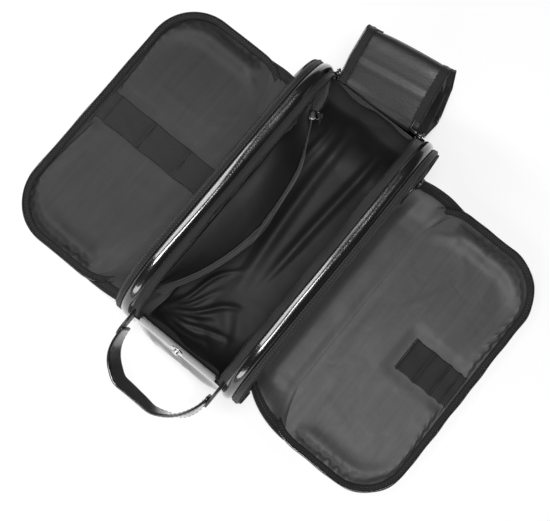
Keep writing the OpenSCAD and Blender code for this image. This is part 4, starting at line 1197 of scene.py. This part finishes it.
def tabs():
    """Leather tabs that hold the strap: rounded outline carried 2 mm across, with soft edges."""
    half = 9.0
    w = np.linspace(-np.pi / 2, np.pi / 2, 17)
    tip = np.stack([-HANDLE_Y - half * np.cos(w), HANDLE_Z + half * np.sin(w)], 1)
    root = np.array([[-124.5, HANDLE_Z + half], [-127.0, HANDLE_Z], [-130.2, HANDLE_Z - half]])
    outline = np.vstack([tip, root])
    middle = outline.mean(0)
    for sign, side in ((-1, "left"), (1, "right")):
        rings = []
        for x, scale in ((44.6, 0.93), (44.75, 0.99), (45.2, 1.0), (46.0, 1.0), (46.45, 0.99), (46.6, 0.93)):
            ring = middle + (outline - middle) * scale
            rings.append(np.column_stack([np.full(len(ring), sign * x), ring]))
        nodes = ("handle_anchors",) if sign > 0 else ()
        place(tube(f"{side}_strap_tab", np.array(rings), soft), "bag_body", "leather", *nodes)


# Metal parts

def turned(name, profile, origin, axis):
    """Plated body of revolution: a profile of (distance along the axis, radius) turned round
    the axis."""
    side = unit(np.cross(axis, [0.3, 0.9, 0.1]))
    w = circle(40)[:, None]
    spin = np.cos(w) * side + np.sin(w) * np.cross(axis, side)
    return tube(name, np.array([origin + axis * h + spin * r for h, r in profile]), nickel)


def snap():
    """Snap stud: a rolled flange and a waisted stud on the near wall, and its cap on the lid."""
    stud = [(-0.4, 1.0), (-0.4, 5.6), (0.2, 6.1), (0.6, 5.7), (0.8, 4.6), (0.7, 3.2), (1.1, 2.5), (2.1, 2.4),
            (2.6, 2.9), (3.0, 2.5), (3.2, 1.2), (3.2, 0.2)]
    cap = [(1.2, 0.3), (1.1, 2.6), (0.9, 3.6), (0.0, 3.9), (0.0, 6.3), (0.6, 6.6), (1.3, 6.2), (1.9, 4.9),
           (2.3, 3.0), (2.45, 0.3)]
    cap_height = 2.3
    axis = np.array([0, -math.cos(SNAP_ANGLE), math.sin(SNAP_ANGLE)])
    origin = np.array([0, -CY, TOP]) + axis * CORNER
    place(turned("snap_button", stud, origin, axis), "bag_body", "metal", "snap_stud")
    turn = TURNS[-1]
    cap_origin = (turn @ np.append(origin + axis * cap_height, 1))[:3]
    place(turned("snap_cover", cap, cap_origin, turn[:3, :3] @ axis), "lid_7", "metal", "snap_cap")


def slider_frame(position, x_way, y_way, z_way, sign=1):
    """Function that places points of a slider given across, along its teeth and out."""
    basis = np.array([x_way, y_way, z_way], float)

    def at(p):
        return (np.array(position) + p @ basis) * np.array([sign, 1, 1])
    return at


def moved(at, *by):
    """The placing function at with its points moved first."""
    def placed(p):
        return at(p + by)
    return placed


def pillow(half_x, half_y, z0, z1, taper, at):
    """Rounded plate: superellipse outlines that shrink towards its two faces, narrower at one
    end by the taper. Each outline is given by its part of the height and its scale."""
    outlines = ((0.0, 0.15), (0.0, 0.86), (0.12, 0.96), (0.35, 1.0), (0.65, 1.0), (0.88, 0.95), (1.0, 0.82),
                (1.0, 0.15))
    w = circle(32)
    x, y = rounded(np.cos(w), 0.6), rounded(np.sin(w), 0.6)
    x = x * (1 - taper * (0.5 + 0.5 * y))
    rings = [np.stack([half_x * scale * x, half_y * scale * y, 0 * w + z0 + (z1 - z0) * part], 1)
             for part, scale in outlines]
    return np.array([at(ring) for ring in rings])


def arch(span, rise, thick, z0, at):
    """Bail: a round bar bent over in a half superellipse from foot to foot along the slider."""
    t = np.linspace(0, np.pi, 25)
    path = np.stack([0 * t, -span * rounded(np.cos(t), 0.55), z0 + rise * np.sin(t) ** 0.5], 1)
    side = np.tile([1.0, 0, 0], (len(t), 1))
    up = np.cross(unit(np.gradient(path, axis=0)), side)
    return at(wrapped(path, side, up, thick, thick, 10))


def slider(name, body, at, centre, bail_at):
    """Zip slider: two rounded plates over and under the teeth, a web between the rows of teeth
    and a bail. Its own axes are across, along and out."""
    upper = pillow(2.6, 4.5, 1.15, 3.1, 0.25, moved(at, centre, 0, 0))
    lower = pillow(2.4, 4.4, -3.0, -1.15, 0.25, moved(at, centre, 0, 0))
    web = pillow(0.42, 4.2, -2.0, 2.0, 0.0, moved(at, -0.8, 0, 0))
    bail = arch(3.0, 3.3, 0.68, 2.9, moved(at, bail_at, 0, 0))
    place(tube(f"{name}_plate", upper, gunmetal), body, "metal", body)
    for part, rings in (("lower_plate", lower), ("web", web), ("bail", bail)):
        place(tube(f"{name}_{part}", rings, gunmetal), body, "metal")


def metal_tag(name, body, at):
    """Pull tag: a flat plate with a rounded end and a window that hooks round the bail. Its
    rings run over the outer and the inner outline, with soft edges."""
    half_t = 0.45
    w = circle(48)
    outer = np.stack([2.45 * rounded(np.cos(w), 0.5), 8.9 + 9.6 * rounded(np.sin(w), 0.6)], 1)
    inner = np.stack([1.0 * rounded(np.cos(w), 0.6), 3.25 + 2.5 * rounded(np.sin(w), 0.6)], 1)
    rings = []
    for outline, z, grow in ((outer, -half_t, 0.0), (outer, 0.0, 0.18), (outer, half_t, 0.0),
                             (inner, half_t, 0.1), (inner, 0.0, -0.1), (inner, -half_t, 0.1)):
        middle = outline.mean(0)
        ring = middle + (outline - middle) * (1 + grow / 9)
        rings.append(at(np.column_stack([ring, np.full(len(ring), z)])))
    place(tube(name, np.array(rings).transpose(1, 0, 2), gunmetal, loop=True), body, "metal", body)


def ribbon_tag(name, body, at, finish):
    """Ribbon pull: a loop round the bail's bar that closes into a flat doubled tail. at takes
    across the bar, along the bar and away from it."""
    radius, thick, neck = 1.45, 0.36, -2.2
    a = np.radians(np.linspace(-64, 244, 15))
    loop = np.stack([radius * np.cos(a), radius * np.sin(a)], 1)
    down = np.linspace(neck, -19.2, 14)
    tail = np.stack([0.42 + 0 * down, down], 1)
    path = np.vstack([tail[::-1], loop, tail * [-1, 1]])
    width = 1.75 + 0.65 * smooth(-path[:, 1], 1.5, 6)
    tangent = unit(np.gradient(path, axis=0))
    out = np.stack([tangent[:, 1], -tangent[:, 0]], 1)
    out = out * np.sign(out[:, :1] * path[:, :1] + 1e-9)
    out = np.where(path[:, 1:] > neck, unit(path), out)
    section = ((-1, 1), (-0.5, 1.15), (0.5, 1.15), (1, 1), (1, -1), (0.5, -1), (-0.5, -1), (-1, -1))
    rings = []
    for along_bar, off in section:
        p = path + out * off * thick
        rings.append(np.stack([p[:, 0], along_bar * width, -p[:, 1]], 1))
    rings = at(np.array(rings).transpose(1, 0, 2))
    place(tube(name, rings, finish), body, "zip", body)


def corner_slider(x, angle, level, depth, x_way, sign):
    """Place of a slider on a far corner, at an angle round it and a depth inside the outline."""
    cos, sin = math.cos(angle), math.sin(angle)
    radius = CORNER - depth
    position = (x, CY + radius * cos, level + radius * sin)
    return slider_frame(position, (x_way, 0, 0), (0, sin, -cos), (0, cos, sin), sign)


def ribbon_frame(at, way):
    """Place of a ribbon pull whose loop runs round a slider's bail and whose tail hangs to one
    side of the slider."""
    bar_height = 6.45

    def placed(p):
        return at(np.stack([way * p[..., 2], p[..., 1], bar_height + p[..., 0]], -1))
    return placed


def sliders():
    """All zip sliders and pulls at the places where the solids have them."""
    bail_at, tag_height = 2.75, 4.45
    for sign, side in ((1, "right"), (-1, "left")):
        at = corner_slider(MOUTH_X, MAIN_SLIDER_ANGLE, TOP, 1.0, 1, sign)
        slider(f"{side}_main_runner", f"{side}_main_slider", at, 1.9, bail_at)
        metal_tag(f"{side}_main_tag", f"{side}_main_pull", moved(at, bail_at, 0, tag_height))
        at = corner_slider(SIDE_TEETH_X, SIDE_SLIDER_ANGLE, CORNER, 1.4, -1, sign)
        slider(f"{side}_side_runner", f"{side}_side_slider", at, 0.0, 0.0)
        ribbon_tag(f"{side}_side_tag", f"{side}_side_pull", ribbon_frame(at, -1), binding)
    a = math.asin((POCKET_L / 2 - 13) / POCKET_R)
    cos, sin = math.cos(a), math.sin(a)
    radius = POCKET_R + 0.5
    position = (POCKET_X + POCKET_SAG - POCKET_R + radius * cos, radius * sin, POCKET_TOP + 1.5)
    at = slider_frame(position, (0, 0, -1), (-sin, cos, 0), (cos, sin, 0))
    slider("pocket_runner", "pocket_slider", at, 1.9, 0.0)
    ribbon_tag("pocket_tag", "pocket_pull", ribbon_frame(at, 1), tape)


# Studio

def camera():
    """The photograph's camera: its place, its line of sight and which way is up in the frame.
    Its focal length is known in pixels of the photo's width."""
    focal_px, width_px, sensor = 1124.19, 550, 36
    middle = Vector((0.08715, -0.13172, 1.00215))
    sight = Vector((-0.07963, 0.11895, -0.98970)).normalized()
    right = sight.cross(Vector((-0.62538, 0.76720, 0.14253))).normalized()
    data = bpy.data.cameras.new("camera")
    data.lens = focal_px / width_px * sensor
    data.sensor_width = sensor
    data.clip_start = 0.01
    obj = bpy.data.objects.new("camera", data)
    turn = Matrix((right, right.cross(sight), -sight)).transposed().to_4x4()
    obj.matrix_world = Matrix.Translation(middle) @ turn
    bpy.context.scene.collection.objects.link(obj)
    bpy.context.scene.camera = obj


def lamp(name, spot, aim, size, power):
    """Rectangular lamp at a spot, aimed at a point."""
    data = bpy.data.lights.new(name, "AREA")
    data.shape = "RECTANGLE"
    data.size, data.size_y = size
    data.energy = power
    obj = bpy.data.objects.new(name, data)
    way = Vector(aim) - Vector(spot)
    obj.matrix_world = Matrix.Translation(spot) @ way.to_track_quat("-Z", "Y").to_matrix().to_4x4()
    bpy.context.scene.collection.objects.link(obj)


def white_table():
    """Table finish: half matt white, half a glow that only the camera and mirroring see."""
    glow_strength = 1.2
    mat = bpy.data.materials.new("white_table")
    mat.use_nodes = True
    tree = mat.node_tree
    tree.nodes.clear()
    out, mix, white, glow, path, seen, scale = [tree.nodes.new(f"ShaderNode{kind}") for kind in (
        "OutputMaterial", "MixShader", "BsdfDiffuse", "Emission", "LightPath", "Math", "Math")]
    mix.inputs[0].default_value = 0.5
    white.inputs["Color"].default_value = (0.86, 0.86, 0.86, 1)
    seen.operation = "ADD"
    scale.operation = "MULTIPLY"
    scale.inputs[1].default_value = glow_strength
    for source, target in (
            (path.outputs["Is Camera Ray"], seen.inputs[0]), (path.outputs["Is Glossy Ray"], seen.inputs[1]),
            (seen.outputs[0], scale.inputs[0]), (scale.outputs[0], glow.inputs["Strength"]),
            (white.outputs[0], mix.inputs[1]), (glow.outputs[0], mix.inputs[2]),
            (mix.outputs[0], out.inputs["Surface"])):
        tree.links.new(source, target)
    return mat


def studio():
    """White table and background, a large soft lamp above and two strips that draw the
    leather's highlights. The world is white for the camera and dim as a light."""
    bpy.ops.mesh.primitive_plane_add(size=8)
    floor = bpy.context.object
    floor.name = "table"
    floor.data.materials.append(white_table())
    world = bpy.data.worlds.new("studio")
    world.use_nodes = True
    bpy.context.scene.world = world
    tree = world.node_tree
    back = tree.nodes["Background"]
    back.inputs["Color"].default_value = (1, 1, 1, 1)
    rays = tree.nodes.new("ShaderNodeLightPath")
    pick = tree.nodes.new("ShaderNodeMapRange")
    pick.inputs["To Min"].default_value = 0.03
    pick.inputs["To Max"].default_value = 1.0
    tree.links.new(rays.outputs["Is Camera Ray"], pick.inputs["Value"])
    tree.links.new(pick.outputs["Result"], back.inputs["Strength"])
    lamp("overhead", (0.12, -0.12, 1.7), (0, 0, 0), (0.5, 0.5), 20)
    lamp("left_strip", (-1.1, 0.1, 0.9), (0, 0, 0.1), (0.32, 1.4), 9)
    lamp("near_strip", (0.2, -1.2, 0.5), (0, -0.1, 0.05), (1.2, 0.35), 7)


def cad_finishes():
    """Materials for the solids that stay in view: boards and stiffened walls, or leather."""
    for name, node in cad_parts.items():
        stiff = "board" in name or "inner_wall" in name
        node.data.materials.clear()
        node.data.materials.append(stiffener if stiff else soft)


camera()
studio()
cad_finishes()
for sign, side in ((1, "right"), (-1, "left")):
    gusset(sign, side)
    wall_satin(sign, side)
    main_zip(sign, side)
    ring_zip(f"{side}_side_zip", "bag_body", SIDE_X, SIDE_TEETH_X, body_point(sign))
outer_wrap()
end_seams()
floor_and_ends()
pocket()
# The flaps' satins: the right one carries painted light, and the left one carries painted shade.
flap(1, "right", satin_right_painted_light, seed=201, band=(-3, 17, 74))
flap(-1, "left", satin_left_painted_shade, seed=231, band=(3, 15.5, 6))
hinge_fold(1, "right", near_y=113, far_y=127, finish=satin_right_painted_light)
hinge_fold(-1, "left", near_y=124, far_y=124, finish=satin_left_painted_shade)
elastic(1, "right", seams=(0, 7, 18, 36, 56), width=34, middle=-3, seed=261)
elastic(-1, "left", seams=(0, 11, 51, 92, 124), width=31, middle=3, seed=271)
lid()
handle()
tabs()
snap()
sliders()

bpy.context.scene.view_settings.view_transform = "Standard"
bpy.context.view_layer.update()
